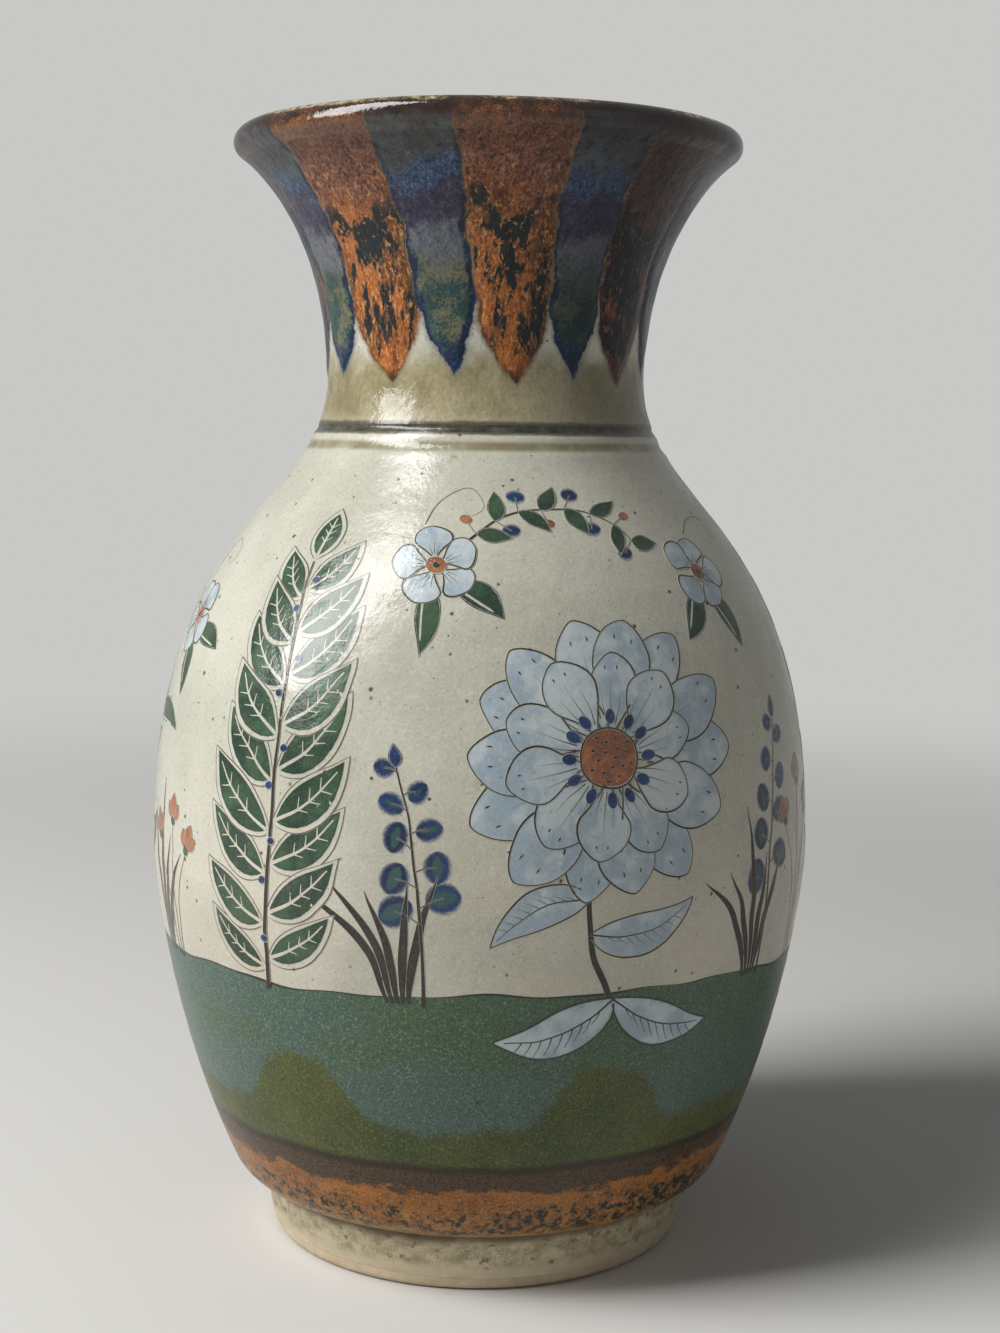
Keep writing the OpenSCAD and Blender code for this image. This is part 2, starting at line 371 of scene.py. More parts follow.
# The neck's brushed tongues, rust and blue in turn, which run into one another towards the lip.
def makeNeck(given):
    place = given["Place"]
    height, angle = heightOf(place), angleOf(place)
    fine = noise(place, 1150.0, 3.0, 0.7)
    mottle = noise(place, 240.0, 3.0, 0.6)
    around = calc("SINE", angle)                                 # the right side is darker: painted shade away from the window lamp, with some kiln-darkened glaze
    shadeAndSoot = fade(around, -0.02, 0.85)
    veil = noise(stretched(place, 0.4), 460.0, 5.0, 0.78)

    # where in the pattern a point lies, in degrees from a rust tongue's middle
    (a, b, c), (d, e, f) = neckPattern["stray"], neckPattern["tipStray"]
    span = {"Value": height, "From Min": neckPattern["rustTip"], "From Max": neckPattern["top"]}
    share = add("MapRange", span).outputs[0]
    upper = scaled(calc("SINE", plus(angle, math.radians(c))), b, a)
    lower = scaled(calc("COSINE", scaled(angle, 2.0, math.radians(2 * f))), e, d)
    lower = times(lower, calc("POWER", minus(1.0, share), 1.5))
    pitch = 360 / neckPattern["pairs"]
    strayed = plus(upper, lower)
    for size, up, round_ in neckPattern["shake"]:
        wave = calc("SINE", scaled(height, up, times(angle, round_)))
        strayed = scaled(wave, size, strayed)
    turned = minus(calc("DEGREES", angle), strayed)
    sideways = calc("WRAP", minus(turned, neckPattern["firstRust"]), pitch / 2, -pitch / 2)
    apart = calc("ABSOLUTE", sideways)

    # distance inside each tongue's edge, in millimetres
    ragged = scaled(mottle, 2.6, -1.3)
    ragged = plus(ragged, scaled(fine, 1.2, -0.6))
    ragged = plus(ragged, fade(height, 206.0, 230.0, 0.1, 0.55))
    perDegree = times(radiusOf(place), math.pi / 180 / mm)
    run = neckPattern["tipRun"]

    def inside(half, tip, position):
        full = larger(scaled(height, -1 / run, 1 + tip / run), 0.0)
        full = calc("POWER", calc("MINIMUM", full, 1.3), neckPattern["fullness"])
        reach = minus(scaled(full, -half, half), position)
        return scaled(reach, perDegree, ragged)

    rustEdge = inside(neckPattern["rustHalf"], neckPattern["rustTip"], apart)
    blueEdge = inside(neckPattern["blueHalf"], neckPattern["blueTip"], minus(pitch / 2, apart))

    # the ground: olive-beige low on the neck, cream between the tips, honey where it pools higher up
    wander = scaled(mottle, 9.0, minus(height, 4.5))
    clouds = breakShare(stretched(place, 0.7), 85.0, 0.35, 0.20)
    beige = blend(clouds, *neckTones["beige"])
    beige = blend(fade(height, 189.0, 192.5, 0.45, 1.0), (0.44, 0.41, 0.29), beige)
    beige = laid(beige, (0.17, 0.145, 0.07), fine, 0.50, 0.28, 0.5)
    # painted shade darkens the beige on the right side
    beige = blend(times(shadeAndSoot, 0.5), beige, (0.12, 0.118, 0.085))
    line = minus(height, topOf("collar_line"))
    line = scaled(noise(place, 180.0, 4.0, 0.7), -1.2, line)
    beige = laid(beige, (0.050, 0.048, 0.034), line, 0.5, -0.3, 0.85)
    ground = blend(fade(wander, *neckPattern["cream"]), beige, use(cream, place)[0])
    honey = blend(breakShare(place, 200.0, 0.6, 0.15), *neckTones["honey"])
    honey = laid(honey, (0.035, 0.025, 0.018), fine, 0.50, 0.35)
    ground = blend(fade(wander, *neckPattern["honey"]), ground, honey)
    stain = fade(height, 224.0, 214.0, 0.35, 1.0)
    ground = blend(times(fade(blueEdge, -1.5, 0.3, 0.0, 0.55), stain), ground, (0.05, 0.085, 0.16))
    ground = blend(times(fade(rustEdge, -1.3, 0.2, 0.0, 0.75), stain), ground, (0.17, 0.105, 0.04))

    # blue: teal and beige inside navy edges, then a violet belt, a sky-blue one and slate above
    streaks = noise(stretched(place, 0.55), 1700.0, 5.0, 0.85)
    # the teal is darker on the right side, partly as painted shade
    teal = blend(shadeAndSoot, *neckTones["teal"])
    beiges = breakShare(place, 130.0, 0.6, 0.10, -0.02)
    teal = blend(times(beiges, fade(shadeAndSoot, 0.0, 1.0, 1.0, 0.25)), teal, (0.165, 0.155, 0.085))
    teal = laid(teal, (0.11, 0.19, 0.23), fine, 0.56, 0.70, 0.40)
    teal = laid(teal, (0.010, 0.028, 0.045), fine, 0.46, 0.30, 0.7)
    navy = blend(fade(fine, 0.45, 0.75), *neckTones["navy"])
    rim = scaled(noise(stretched(place, 0.6), 420.0, 3.0, 0.6), 4.0, blueEdge)
    drift = scaled(mottle, 12.0, minus(height, 6.0))
    drift = scaled(noise(place, 22.0, 1.0), 14.0, minus(drift, 7.0))
    silver = times(fade(drift, *neckPattern["silver"]), fade(streaks, 0.40, 0.62, 0.25, 1.0))
    lilac = blend(fade(drift, *neckPattern["lilac"]), *neckTones["lilac"])
    blue = blend(silver, teal, lilac)
    blue = blend(fade(rim, 4.0, 2.9), blue, navy)
    blue = blend(fade(scaled(mottle, 8.0, height), 212.0, 207.5), blue, navy)
    violet = blend(fade(streaks, 0.46, 0.66), *neckTones["violet"])
    blue = blend(times(fade(drift, *neckPattern["violet"]), 0.95), blue, violet)
    sky = blend(fade(streaks, 0.42, 0.62), *neckTones["sky"])
    blue = blend(times(fade(drift, *neckPattern["sky"]), 0.9), blue, sky)
    slate = blend(breakShare(place, 150.0, 0.7, 0.2), *neckTones["slate"])
    slate = laid(slate, (0.16, 0.105, 0.070), streaks, 0.54, 0.66, 0.6)
    blue = blend(fade(drift, *neckPattern["slate"]), blue, slate)
    edge = times(fade(rim, 3.9, 2.5), fade(noise(place, 90.0), 0.34, 0.58, 0.15, 0.95))
    blue = blend(edge, blue, (0.008, 0.018, 0.046))
    # painted shade darkens the blue on the right side, with some soot
    blue = blend(times(shadeAndSoot, 0.5), blue, (0.006, 0.012, 0.022))

    # rust: orange with golden flecks, blue-black breaks that run down, mauve-brown above
    long = stretched(place, 0.42)
    rust = blend(breakShare(long, 120.0, 0.5, 0.12), *neckTones["rust"])
    grain = noise(stretched(place, 0.5), 1650.0, 5.0, 0.78)
    flash = fade(breakShare(long, 90.0, 0.4, 0.15), 0.0, 1.0, 0.45, 0.95)
    rust = blend(times(fade(grain, 0.50, 0.64), flash), rust, (0.70, 0.33, 0.10))
    rust = laid(rust, (0.045, 0.016, 0.009), grain, 0.46, 0.32, 0.9)
    swing = times(calc("COSINE", times(sideways, 0.30)), 4.0)
    crown = plus(scaled(mottle, 16.0, height), swing)
    crown = plus(crown, scaled(noise(place, 26.0, 1.0), 14.0, -7.0))
    crown = fade(apartFrom(crown, 239.0), 4.8, 1.4, 0.0, 0.20)
    window = times(fade(height, 199.0, 208.0), fade(height, 234.0, 229.0))
    runs = noise(stretched(place, 0.24), 300.0, 6.0, 0.72)
    # more blue-black breaks on the right side, partly as painted shade
    runs = plus(runs, scaled(window, scaled(shadeAndSoot, 0.09, 0.130), -0.092))
    runs = plus(runs, times(crown, fade(height, 241.0, 236.0)))
    rust = laid(rust, (0.085, 0.062, 0.028), runs, 0.530, 0.565, 0.75)
    rust = laid(rust, (0.010, 0.015, 0.018), runs, 0.555, 0.585)
    mauve = blend(fade(grain, 0.40, 0.62), *neckTones["mauve"])
    belt = times(fade(drift, *neckPattern["mauve"], 0.0, 0.9), fade(height, 252.5, 249.5))
    rust = blend(belt, rust, mauve)
    spark = fade(noise(stretched(place, 0.6), 820.0, 3.0, 0.65), 0.58, 0.66, 0.0, 0.75)
    spark = times(spark, fade(height, 250.0, 236.0, 0.5, 1.0))
    rust = blend(spark, rust, (0.58, 0.29, 0.105))
    # painted shade and soot blacken the rust on the right side, higher up
    rustShadeAndSoot = times(shadeAndSoot, fade(height, 222.0, 234.0, 0.66, 0.85))
    rust = blend(rustShadeAndSoot, rust, (0.012, 0.012, 0.019))
    rust = laid(rust, (0.030, 0.052, 0.070), around, -0.92, -0.97, 0.85)
    seam = fade(scaled(fine, 1.6, rustEdge), 2.0, 1.0, 0.0, 0.85)
    seam = times(seam, fade(noise(place, 70.0), 0.35, 0.65, 0.25, 1.0))
    rust = blend(seam, rust, blend(fade(height, 214.0, 222.0), *neckTones["seam"]))
    rust = blend(fade(scaled(fine, 3.0, height), 202.6, 200.0), rust, (0.055, 0.024, 0.012))

    # all together, darker under the lip, with a frosty veil over the upper part
    colour = blend(fade(blueEdge, -0.15, 0.3), ground, blue)
    colour = blend(fade(rustEdge, -0.15, 0.3), colour, rust)
    under = scaled(mottle, 8.0, minus(height, 4.0))
    under = times(fade(under, 241.0, 247.5, 0.0, 0.36), fade(under, 252.0, 249.0, 0.35, 1.0))
    colour = blend(under, colour, (0.048, 0.026, 0.024))
    upper = fade(height, 222.0, 236.0, 0.35, 1.0)
    upper = times(upper, fade(larger(rustEdge, blueEdge), 0.0, 0.6))
    frost = blend(fade(rustEdge, -0.5, 0.5), *neckTones["frost"])
    frosted = times(fade(veil, 0.54, 0.68, 0.0, 0.45), fade(shadeAndSoot, 0.0, 1.0, 1.0, 0.3))
    colour = blend(times(frosted, upper), colour, frost)
    shaded = times(fade(veil, 0.48, 0.36, 0.0, 0.75), upper)
    colour = blend(shaded, colour, (0.012, 0.011, 0.015))
    return [colour, fade(rustEdge, -0.5, 2.5), shadeAndSoot]


neckBrushwork = effect("neckBrushwork", makeNeck, gives={"Color": "Color", "Rust": "Float", "ShadeAndSoot": "Float"})


def dip(name, roughness, depth=1.0, specular=0.5):
    material = bpy.data.materials.new(name)
    material.use_nodes = True
    tree = material.node_tree
    shader = tree.nodes["Principled BSDF"]
    shader.inputs["Roughness"].default_value = roughness
    shader.inputs["Specular IOR Level"].default_value = specular
    place = add("TexCoord", tree=tree).outputs["Object"]

    def finish(colour, roughnessMap=None, depthMap=None):
        tree.links.new(colour, shader.inputs["Base Color"])
        tree.links.new(use(skin, place, Depth=depthMap or depth)["Normal"], shader.inputs["Normal"])
        if roughnessMap is not None:
            tree.links.new(roughnessMap, shader.inputs["Roughness"])
        return material
    return place, finish


def glossMap(place, low=0.15, high=0.30):
    return fade(noise(place, 90.0, 3.0), 0.35, 0.68, low, high)


def creamGlaze():
    place, finish = dip("creamGlaze", 0.2)
    colour = use(cream, place)[0]
    height = heightOf(place)
    # darker glaze pooled in the collar's groove and below the iron line, partly painted shade in the groove
    groove = fade(apartFrom(height, 184.2), 1.5, 0.4)
    pooledAndShaded = larger(groove, fade(height, 186.3, 187.2))
    pooledAndShaded = times(pooledAndShaded, fade(noise(place, 130.0), 0.25, 0.62, 0.35, 0.95))
    colour = blend(pooledAndShaded, colour, (0.22, 0.19, 0.10))
    line = minus(footOf("collar_line"), height)
    line = scaled(noise(place, 180.0, 4.0, 0.7), -1.0, line)
    colour = laid(colour, (0.060, 0.056, 0.038), line, 0.3, -0.3, 0.8)
    return finish(colour, glossMap(place))


def neckGlaze():
    place, finish = dip("neckGlaze", 0.2, depth=1.3)
    return finish(use(neckBrushwork, place)["Color"], glossMap(place, 0.13, 0.32))


def tongueGlaze():
    place, finish = dip("tongueGlaze", 0.24, depth=2.2, specular=0.3)
    return finish(use(neckBrushwork, place)["Color"], glossMap(place, 0.16, 0.34))


def ironLine():
    place, finish = dip("ironLine", 0.2)
    colour = blend(breakShare(place, 300.0, 0.6, 0.2), (0.028, 0.028, 0.020), (0.10, 0.095, 0.062))
    return finish(colour, glossMap(place))


bandTones = {
    "olive": ((0.046, 0.066, 0.020), (0.082, 0.092, 0.022)),
    "brown": ((0.030, 0.018, 0.010), (0.13, 0.080, 0.044)),
    "rust": ((0.16, 0.052, 0.013), (0.37, 0.135, 0.026)),
    # honey of the rolled bead, lightened as painted light on its downward-facing side
    "honey": ((0.18, 0.085, 0.026), (0.46, 0.26, 0.095)),
}


# The bands of the lower wall: rust, dark brown, olive and slate green, each with a hand-drawn edge.
def bandGlazes():
    place, finish = dip("bandGlazes", 0.3, depth=1.1, specular=0.33)
    height, angle = heightOf(place), angleOf(place)
    flecks = noise(place, 1900.0, 4.0, 0.8)

    # olive, with broad soft lobes where the brush turned
    olive = blend(breakShare(place, 60.0, 0.2, 0.2), *bandTones["olive"])
    olive = laid(olive, (0.25, 0.27, 0.11), flecks, 0.52, 0.68, 0.75)
    olive = laid(olive, (0.016, 0.026, 0.010), flecks, 0.47, 0.30, 0.7)
    lobes = calc("SINE", scaled(angle, 6.0, -1.1))
    lobes = scaled(calc("SINE", scaled(angle, 5.0, 1.9)), 0.35, lobes)
    rise = times(fade(lobes, -0.1, 0.75), 14.0)
    ragged = times(minus(noise(place, 75.0, 5.0, 0.6), 0.5), 9.0)
    brushed = plus(plus(rise, ragged), 42.0)
    colour = blend(fade(minus(height, brushed), -1.5, 2.1), olive, use(slateGreen, place)[0])

    # dark brown, then rust with blue-black breaks
    brown = blend(fade(flecks, 0.36, 0.68), *bandTones["brown"])
    edge = plus(height, times(minus(noise(place, 50.0, 3.0), 0.5), 2.4))
    brown = laid(brown, (0.030, 0.021, 0.012), edge, 31.6, 32.8, 0.85)
    colour = blend(fade(edge, 33.2, 34.8), brown, colour)
    flat = stretched(place, 2.2)
    rust = blend(breakShare(flat, 120.0, 0.8, 0.25), *bandTones["rust"])
    rust = laid(rust, (0.58, 0.27, 0.070), flecks, 0.50, 0.66, 0.85)
    rust = laid(rust, (0.060, 0.024, 0.012), flecks, 0.44, 0.28, 0.85)
    low = fade(apartFrom(height, 19.0), 9.5, 1.5, -0.080, 0.042)
    crackle = noise(stretched(place, 1.1), 430.0, 7.0, 0.82)
    crackle = plus(crackle, scaled(noise(place, 28.0), 0.16, -0.08))
    crackle = plus(crackle, low)
    golden = times(breakShare(place, 230.0, 0.9, 0.10, -0.02), fade(height, 24.0, 19.0, 0.1, 0.6))
    rust = blend(golden, rust, (0.42, 0.23, 0.080))
    rust = laid(rust, (0.135, 0.095, 0.040), crackle, 0.495, 0.550, 0.55)
    rust = laid(rust, (0.019, 0.021, 0.016), crackle, 0.550, 0.580)
    jag = times(minus(noise(flat, 110.0, 5.0, 0.7), 0.5), 13.0)
    colour = blend(fade(plus(height, jag), 26.9, 28.4), rust, colour)
    # the rolled bead in honey, lighter than its glaze as painted light where it faces down into shade
    bead = fade(scaled(noise(place, 160.0), 2.0, height), 16.9, 15.6)
    colour = blend(bead, colour, blend(noise(place, 300.0), *bandTones["honey"]))
    return finish(colour, fade(flecks, 0.3, 0.7, 0.22, 0.40))


def footGlaze():
    place, finish = dip("footGlaze", 0.34, depth=2.4)
    height = heightOf(place)
    pale = blend(noise(place, 60.0), (0.50, 0.42, 0.275), (0.66, 0.58, 0.415))
    blotch = breakShare(stretched(place, 1.3), 260.0, 0.7, 0.14)
    row = fade(apartFrom(height, 8.6), 4.2, 1.5, 0.12, 0.85)
    colour = blend(times(blotch, row), pale, (0.27, 0.225, 0.105))
    pits = fade(noise(stretched(place, 1.3), 330.0, 4.0, 0.72), 0.580, 0.650)
    pits = times(pits, fade(row, 0.1, 0.6, 0.1, 0.75))
    colour = blend(pits, colour, (0.110, 0.088, 0.040))
    # the thin glaze at the foot's lower edge is paler, lightened further as painted bounce light from below
    thin = fade(scaled(noise(place, 140.0), 3.0, height), 5.6, 4.2)
    colour = blend(thin, colour, (0.74, 0.60, 0.43))
    # honey-brown glaze pooled under the rust band, deepened as painted shade under its overhang
    pooledAndShaded = fade(scaled(noise(place, 110.0), 2.4, height), 11.6, 13.6, 0.0, 0.9)
    return finish(blend(pooledAndShaded, colour, (0.135, 0.092, 0.034)))


def bareClay():
    place, finish = dip("bareClay", 0.75, depth=2.2, specular=0.3)
    colour = blend(breakShare(place, 240.0, 0.6, 0.3), (0.50, 0.40, 0.27), (0.66, 0.55, 0.40))
    return finish(speckled(colour, (0.18, 0.13, 0.08), place, 1.3, 0.25, 0.3, 0.6, 0.5))


def linerGlaze():
    place, finish = dip("linerGlaze", 0.22)
    colour = blend(breakShare(place, 60.0, 0.4, 0.25), (0.26, 0.24, 0.16), (0.42, 0.39, 0.29))
    height = heightOf(place)
    run = scaled(noise(stretched(place, 0.15), 160.0), 26.0, height)
    colour = laid(colour, (0.05, 0.034, 0.02), run, 246.0, 258.0)
    return finish(speckled(colour, (0.07, 0.05, 0.03), place, 2.6, 0.35, 0.4, 0.7, 0.5))


def lipGlaze():
    place, finish = dip("lipGlaze", 0.1)
    height = heightOf(place)
    brushwork = use(neckBrushwork, place)
    dark = blend(breakShare(place, 180.0, 0.5, 0.2), (0.006, 0.006, 0.008), (0.030, 0.019, 0.011))
    ragged = scaled(noise(place, 120.0, 5.0, 0.7), 7.0, -3.5)
    reach = minus(plus(height, ragged), times(brushwork["Rust"], 0.9))
    colour = blend(fade(reach, 250.9, 252.0), brushwork["Color"], dark)
    freckles = times(breakShare(place, 300.0, 1.1, 0.05, -0.07), brushwork["Rust"])
    freckles = times(freckles, fade(height, 255.2, 254.0))
    # fewer freckles on the right side, under its painted shade
    freckles = times(freckles, fade(brushwork["ShadeAndSoot"], 0.0, 1.0, 1.0, 0.3))
    colour = blend(times(freckles, 0.8), colour, (0.30, 0.115, 0.038))
    burnt = times(breakShare(place, 210.0, 1.2, 0.08, 0.05), fade(height, 249.0, 251.5))
    colour = blend(times(burnt, 0.85), colour, (0.040, 0.020, 0.013))
    # painted shade darkens the lip on the right side, with some soot
    colour = blend(times(brushwork["ShadeAndSoot"], 0.45), colour, (0.009, 0.011, 0.015))
    crest = fade(plus(height, times(ragged, 0.45)), 253.6, 254.3)
    worn = breakShare(stretched(place, 1.6), 34.0, 0.5, 0.06, -0.01)
    patchy = fade(noise(place, 420.0, 4.0, 0.7), 0.40, 0.62)
    yellow = blend(patchy, (0.085, 0.055, 0.020), (0.52, 0.42, 0.23))
    colour = blend(times(crest, worn), colour, yellow)
    gloss = blend(fade(height, 249.5, 252.5), glossMap(place, 0.16, 0.34), glossMap(place, 0.06, 0.16))
    return finish(colour, gloss, fade(height, 249.0, 252.5, 2.0, 0.7))


edgeScale = 10                       # millimetres to one unit of a stroke's UV map


# Brushwork under the clear glaze: it pools darker at its edges and thins out to the stoneware.
def paintWash(name, tint, deep, rim, cover=1.0, softness=0.35, frost=0.1, centre=None, bleed=0.0):
    place, finish = dip(name, 0.2)
    brushed = add("UVMap", tree=place.id_data, uv_map="brush").outputs[0]
    edge = times(add("SeparateXYZ", {0: brushed}).outputs[0], edgeScale)      # in millimetres
    grain = noise(place, 1700.0, 4.0, 0.8)
    wash = scaled(noise(place, 260.0, 3.0, 0.6), 0.4, noise(place, 85.0, 4.0, 0.6))
    colour = blend(fade(wash, 0.58, 0.80), deep, tint)
    colour = laid(colour, (0.62, 0.62, 0.55), grain, 0.50, 0.70, frost)
    colour = laid(colour, rim, scaled(grain, 0.5, edge), 0.95, 0.45, 0.7)
    if centre:
        inner, start = centre
        spread = scaled(noise(place, 500.0), 1.0, minus(edge, 0.5))
        colour = laid(colour, inner, spread, start, start + 0.6)
    rough = scaled(minus(grain, 0.5), softness * 1.5, edge)
    shown = times(fade(rough, -bleed, softness - bleed), cover)
    colour = speckled(colour, (0.06, 0.05, 0.04), place, 1.25, 0.26, 0.20, 0.6)
    return finish(blend(shown, use(underPaint, place)[0], colour), glossMap(place))


paint = {
    "cream": creamGlaze(),
    "neck": neckGlaze(),
    "line": ironLine(),
    "bands": bandGlazes(),
    "foot": footGlaze(),
    "clay": bareClay(),
    "liner": linerGlaze(),
    "lip": lipGlaze(),
    "tongue": tongueGlaze(),
    "ink": paintWash("inkWash", (0.040, 0.028, 0.020), (0.018, 0.014, 0.012), (0.03, 0.024, 0.02),
                     softness=0.10),
    "paleBlue": paintWash("paleBlueWash", (0.52, 0.585, 0.61), (0.30, 0.395, 0.47), (0.36, 0.44, 0.50),
                          cover=0.93, frost=0.5),
    "leafGreen": paintWash("leafGreenWash", (0.042, 0.092, 0.046), (0.018, 0.044, 0.026),
                           (0.014, 0.034, 0.022), softness=0.25),
    "cobalt": paintWash("cobaltWash", (0.012, 0.040, 0.120), (0.006, 0.016, 0.055), (0.020, 0.070, 0.200),
                        softness=1.5, centre=((0.035, 0.085, 0.085), 1.7), bleed=0.5),
    "cobaltDot": paintWash("cobaltDotWash", (0.016, 0.050, 0.150), (0.006, 0.016, 0.055),
                           (0.020, 0.070, 0.200), softness=0.25),
    "rustWash": paintWash("rustWash", (0.40, 0.145, 0.05), (0.20, 0.068, 0.027), (0.13, 0.052, 0.028),
                          softness=0.4, frost=0.25),
}
print("materials made:", len(paint))


# Each curve's ends and, between them, its handles, in millimetres as (radius, height).
outline = {
    "turnIn": [(50.8, 13.5), (54.8, 14.11), (57.28, 16.61), (58.2, 18.6)],
    "bowl": [(58.2, 18.6), (71.2, 46.6), (76.7, 80.6), (76.7, 92.6)],
    "shoulder": [(76.7, 92.6), (76.7, 169.3), (36.6, 170.0), (36.6, 200.0)],
    "flare": [(36.6, 200.0), (36.6, 232.0), (52.5, 246.5), (56.8, 249.6)],
}
wall = {"thickness": 6.1, "coat": 0.45, "inset": 0.02, "backRow": 4}


# A point at a share of the way along one of those curves.
def curvePoint(ends, t):
    a, b, c, d = (np.array(point) for point in ends)
    return (1 - t) ** 3 * a + 3 * (1 - t) ** 2 * t * b + 3 * (1 - t) * t * t * c + t ** 3 * d


outer = np.array([curvePoint(ends, t) for ends in outline.values() for t in np.linspace(0, 1, 160)[:-1]]
                 + [np.array(outline["flare"][3])])
outerRun = np.concatenate([[0], np.cumsum(np.hypot(*np.diff(outer, axis=0).T))])   # length along the outline


def radiusAt(z):
    return float(np.interp(z, outer[:, 1], outer[:, 0]))


# Outward direction at a height, as (radial, upward).
def outwardAt(z):
    lean = (radiusAt(z + 0.4) - radiusAt(z - 0.4)) / 0.8
    size = math.hypot(1, lean)
    return 1 / size, -lean / size


# Fine grooves and ridges of the collar, in millimetres of relief.
collar = [(188.0, 0.70, -0.30), (184.2, 0.90, -0.28), (186.2, 0.60, 0.16), (182.2, 0.55, 0.14)]


def collarRelief(z):
    return sum(depth * math.exp(-((z - middle) / width) ** 2) for middle, width, depth in collar)


hand = {
    "sway": 0.06, "lean": 0.035,
    "paintRoom": 0.17, "roomAt": 92.0, "roomReach": 34.0,     # the belly stands back, to leave the paint room
    "ringPitch": 7.3, "ringHeight": 0.025, "ringsFrom": 30, "ringsOver": 20,
    "droop": 0.31, "tilt": 0.20, "droopFrom": 236, "droopOver": 14,
}


# From 0 at start to 1, so much further on.
def ramp(value, start, over):
    return min(1, max(0, (value - start) / over))


# What a hand leaves on the wheel: faint throwing rings, a little sway, and a lip that isn't quite level.
def handMade(phi, z):
    out = -wall["inset"] - hand["sway"] * 0.5 * (1 + math.sin(2 * phi + hand["lean"] * z))
    out -= hand["paintRoom"] * math.exp(-((z - hand["roomAt"]) / hand["roomReach"]) ** 2)
    ring = math.sin(2 * math.pi * z / hand["ringPitch"] + phi) * ramp(z, hand["ringsFrom"], hand["ringsOver"])
    out += hand["ringHeight"] * (ring - 1) + collarRelief(z)
    uneven = 0.05 * math.sin(3 * phi + 1.1)
    droop = hand["droop"] - hand["tilt"] * math.sin(phi) + uneven + 0.03 * math.sin(8 * phi)
    return out, -ramp(z, hand["droopFrom"], hand["droopOver"]) * droop


# A height moved with the waves of the ground band's edge, less and less away from it.
def waved(phi, z):
    wave = sum(size * math.sin(count * phi + start) for size, count, start in groundWaves)
    return z + wave * math.exp(-((z - groundTop) / groundReach) ** 2)


# The place of a point that lies lift millimetres above the outer surface.
def onWall(phi, z, lift=0.0):
    out, droop = handMade(phi, z)
    across, up = outwardAt(z)
    radius = radiusAt(z) + out + across * lift
    return Vector((radius * math.sin(phi), -radius * math.cos(phi), z + droop + up * lift)) * mm


def newPiece(name, mesh):
    piece = bpy.data.objects.new(name, mesh)
    bpy.context.scene.collection.objects.link(piece)
    bpy.ops.object.select_all(action="DESELECT")
    piece.select_set(True)
    bpy.context.view_layer.objects.active = piece
    return piece


def finishPiece(piece, material, slot, *nodes):
    piece.data.materials.clear()
    piece.data.materials.append(material)
    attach(piece, "root")
    if nodes:
        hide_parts(*nodes)
    return piece


# Spins a closed outline of (radius, height) points round the wheel's axis, starting at the back.
def thrown(name, section, turns=240, closed=True):
    mesh = bpy.data.meshes.new(name)
    count = len(section)
    edges = [(i, (i + 1) % count) for i in range(count if closed else count - 1)]
    mesh.from_pydata([(0, r * mm, z * mm) for r, z in section], edges, [])
    piece = newPiece(name, mesh)
    bpy.ops.object.mode_set(mode="EDIT")
    bpy.ops.mesh.select_all(action="SELECT")
    bpy.ops.mesh.spin(steps=turns, angle=2 * math.pi, center=(0, 0, 0), axis=(0, 0, 1))
    bpy.ops.mesh.select_all(action="SELECT")
    bpy.ops.mesh.remove_doubles(threshold=0.000002)
    bpy.ops.mesh.normals_make_consistent(inside=False)
    bpy.ops.object.mode_set(mode="OBJECT")
    bpy.ops.object.shade_smooth_by_angle(angle=math.radians(40))
    return piece


# Moves a spun piece from the true circle to what the hand made of it.
def shapeByHand(piece, wave=False, extra=None):
    for vertex in piece.data.vertices:
        x, y, z = vertex.co / mm
        radius = math.hypot(x, y)
        if radius < 0.01:
            continue
        phi = math.atan2(x, -y)
        if wave:
            lifted = waved(phi, z)
            radius += radiusAt(lifted) - radiusAt(z)
            z = lifted
        out, droop = handMade(phi, z)
        if extra:
            out += extra(phi, z)
        radius += out
        vertex.co = Vector((radius * math.sin(phi), -radius * math.cos(phi), z + droop)) * mm
    piece.data.update()


# A coat of glaze between two heights: dense on its face, plain on the side that lies on the clay.
def coatSection(low, high, row):
    steps = max(1, round((high - low) / row))
    face = [low + (high - low) * i / steps for i in range(steps + 1)]
    back = face[::-max(1, round(wall["backRow"] / row))]
    if back[-1] != low:
        back.append(low)
    section = [(radiusAt(z), z) for z in face]
    for z in back:
        across, up = outwardAt(z)
        section.append((radiusAt(z) - across * wall["coat"], min(high, max(low, z - up * wall["coat"]))))
    return section


rustTop, brownTop, oliveTop = topOf("rust_band"), topOf("brown_band"), topOf("olive_band")
collarLow, collarHigh, lipLow = footOf("collar_line"), topOf("collar_line"), topOf("neck_glaze")

# Each coat's name, height from and to, material, slot, node and the height of its rows.
coats = [
    ("brownBand", rustTop, brownTop, "bands", "brown_glaze", "brown_band", 0.7),
    ("oliveBand", brownTop, oliveTop, "bands", "olive_glaze", "olive_band", 1.0),
    ("groundBand", oliveTop, groundTop, "bands", "slate_green_glaze", "ground_band", 1.0),
    ("bellyCoat", groundTop, collarLow, "cream", "cream_glaze", "belly_glaze", 0.8),
    ("collarLine", collarLow, collarHigh, "line", "iron_ink", "collar_line", 0.2),
    ("neckCoat", collarHigh, lipLow, "neck", "beige_glaze", "neck_glaze", 0.8),
]
for name, low, high, glaze, slot, node, row in coats:
    piece = thrown(name, coatSection(low, high, row))
    shapeByHand(piece, wave=True)
    finishPiece(piece, paint[glaze], slot, node)
print("coats thrown")

# The rust band ends below in a rolled bead over the foot.
rolled = [(49.9, 13.62), (50.4, 13.52), (51.0, 13.55), (51.55, 13.75)]
rustBand = thrown("rustBand", rolled + coatSection(14.0, rustTop, 0.7))
shapeByHand(rustBand)
finishPiece(rustBand, paint["bands"], "rust_glaze", "rust_band")

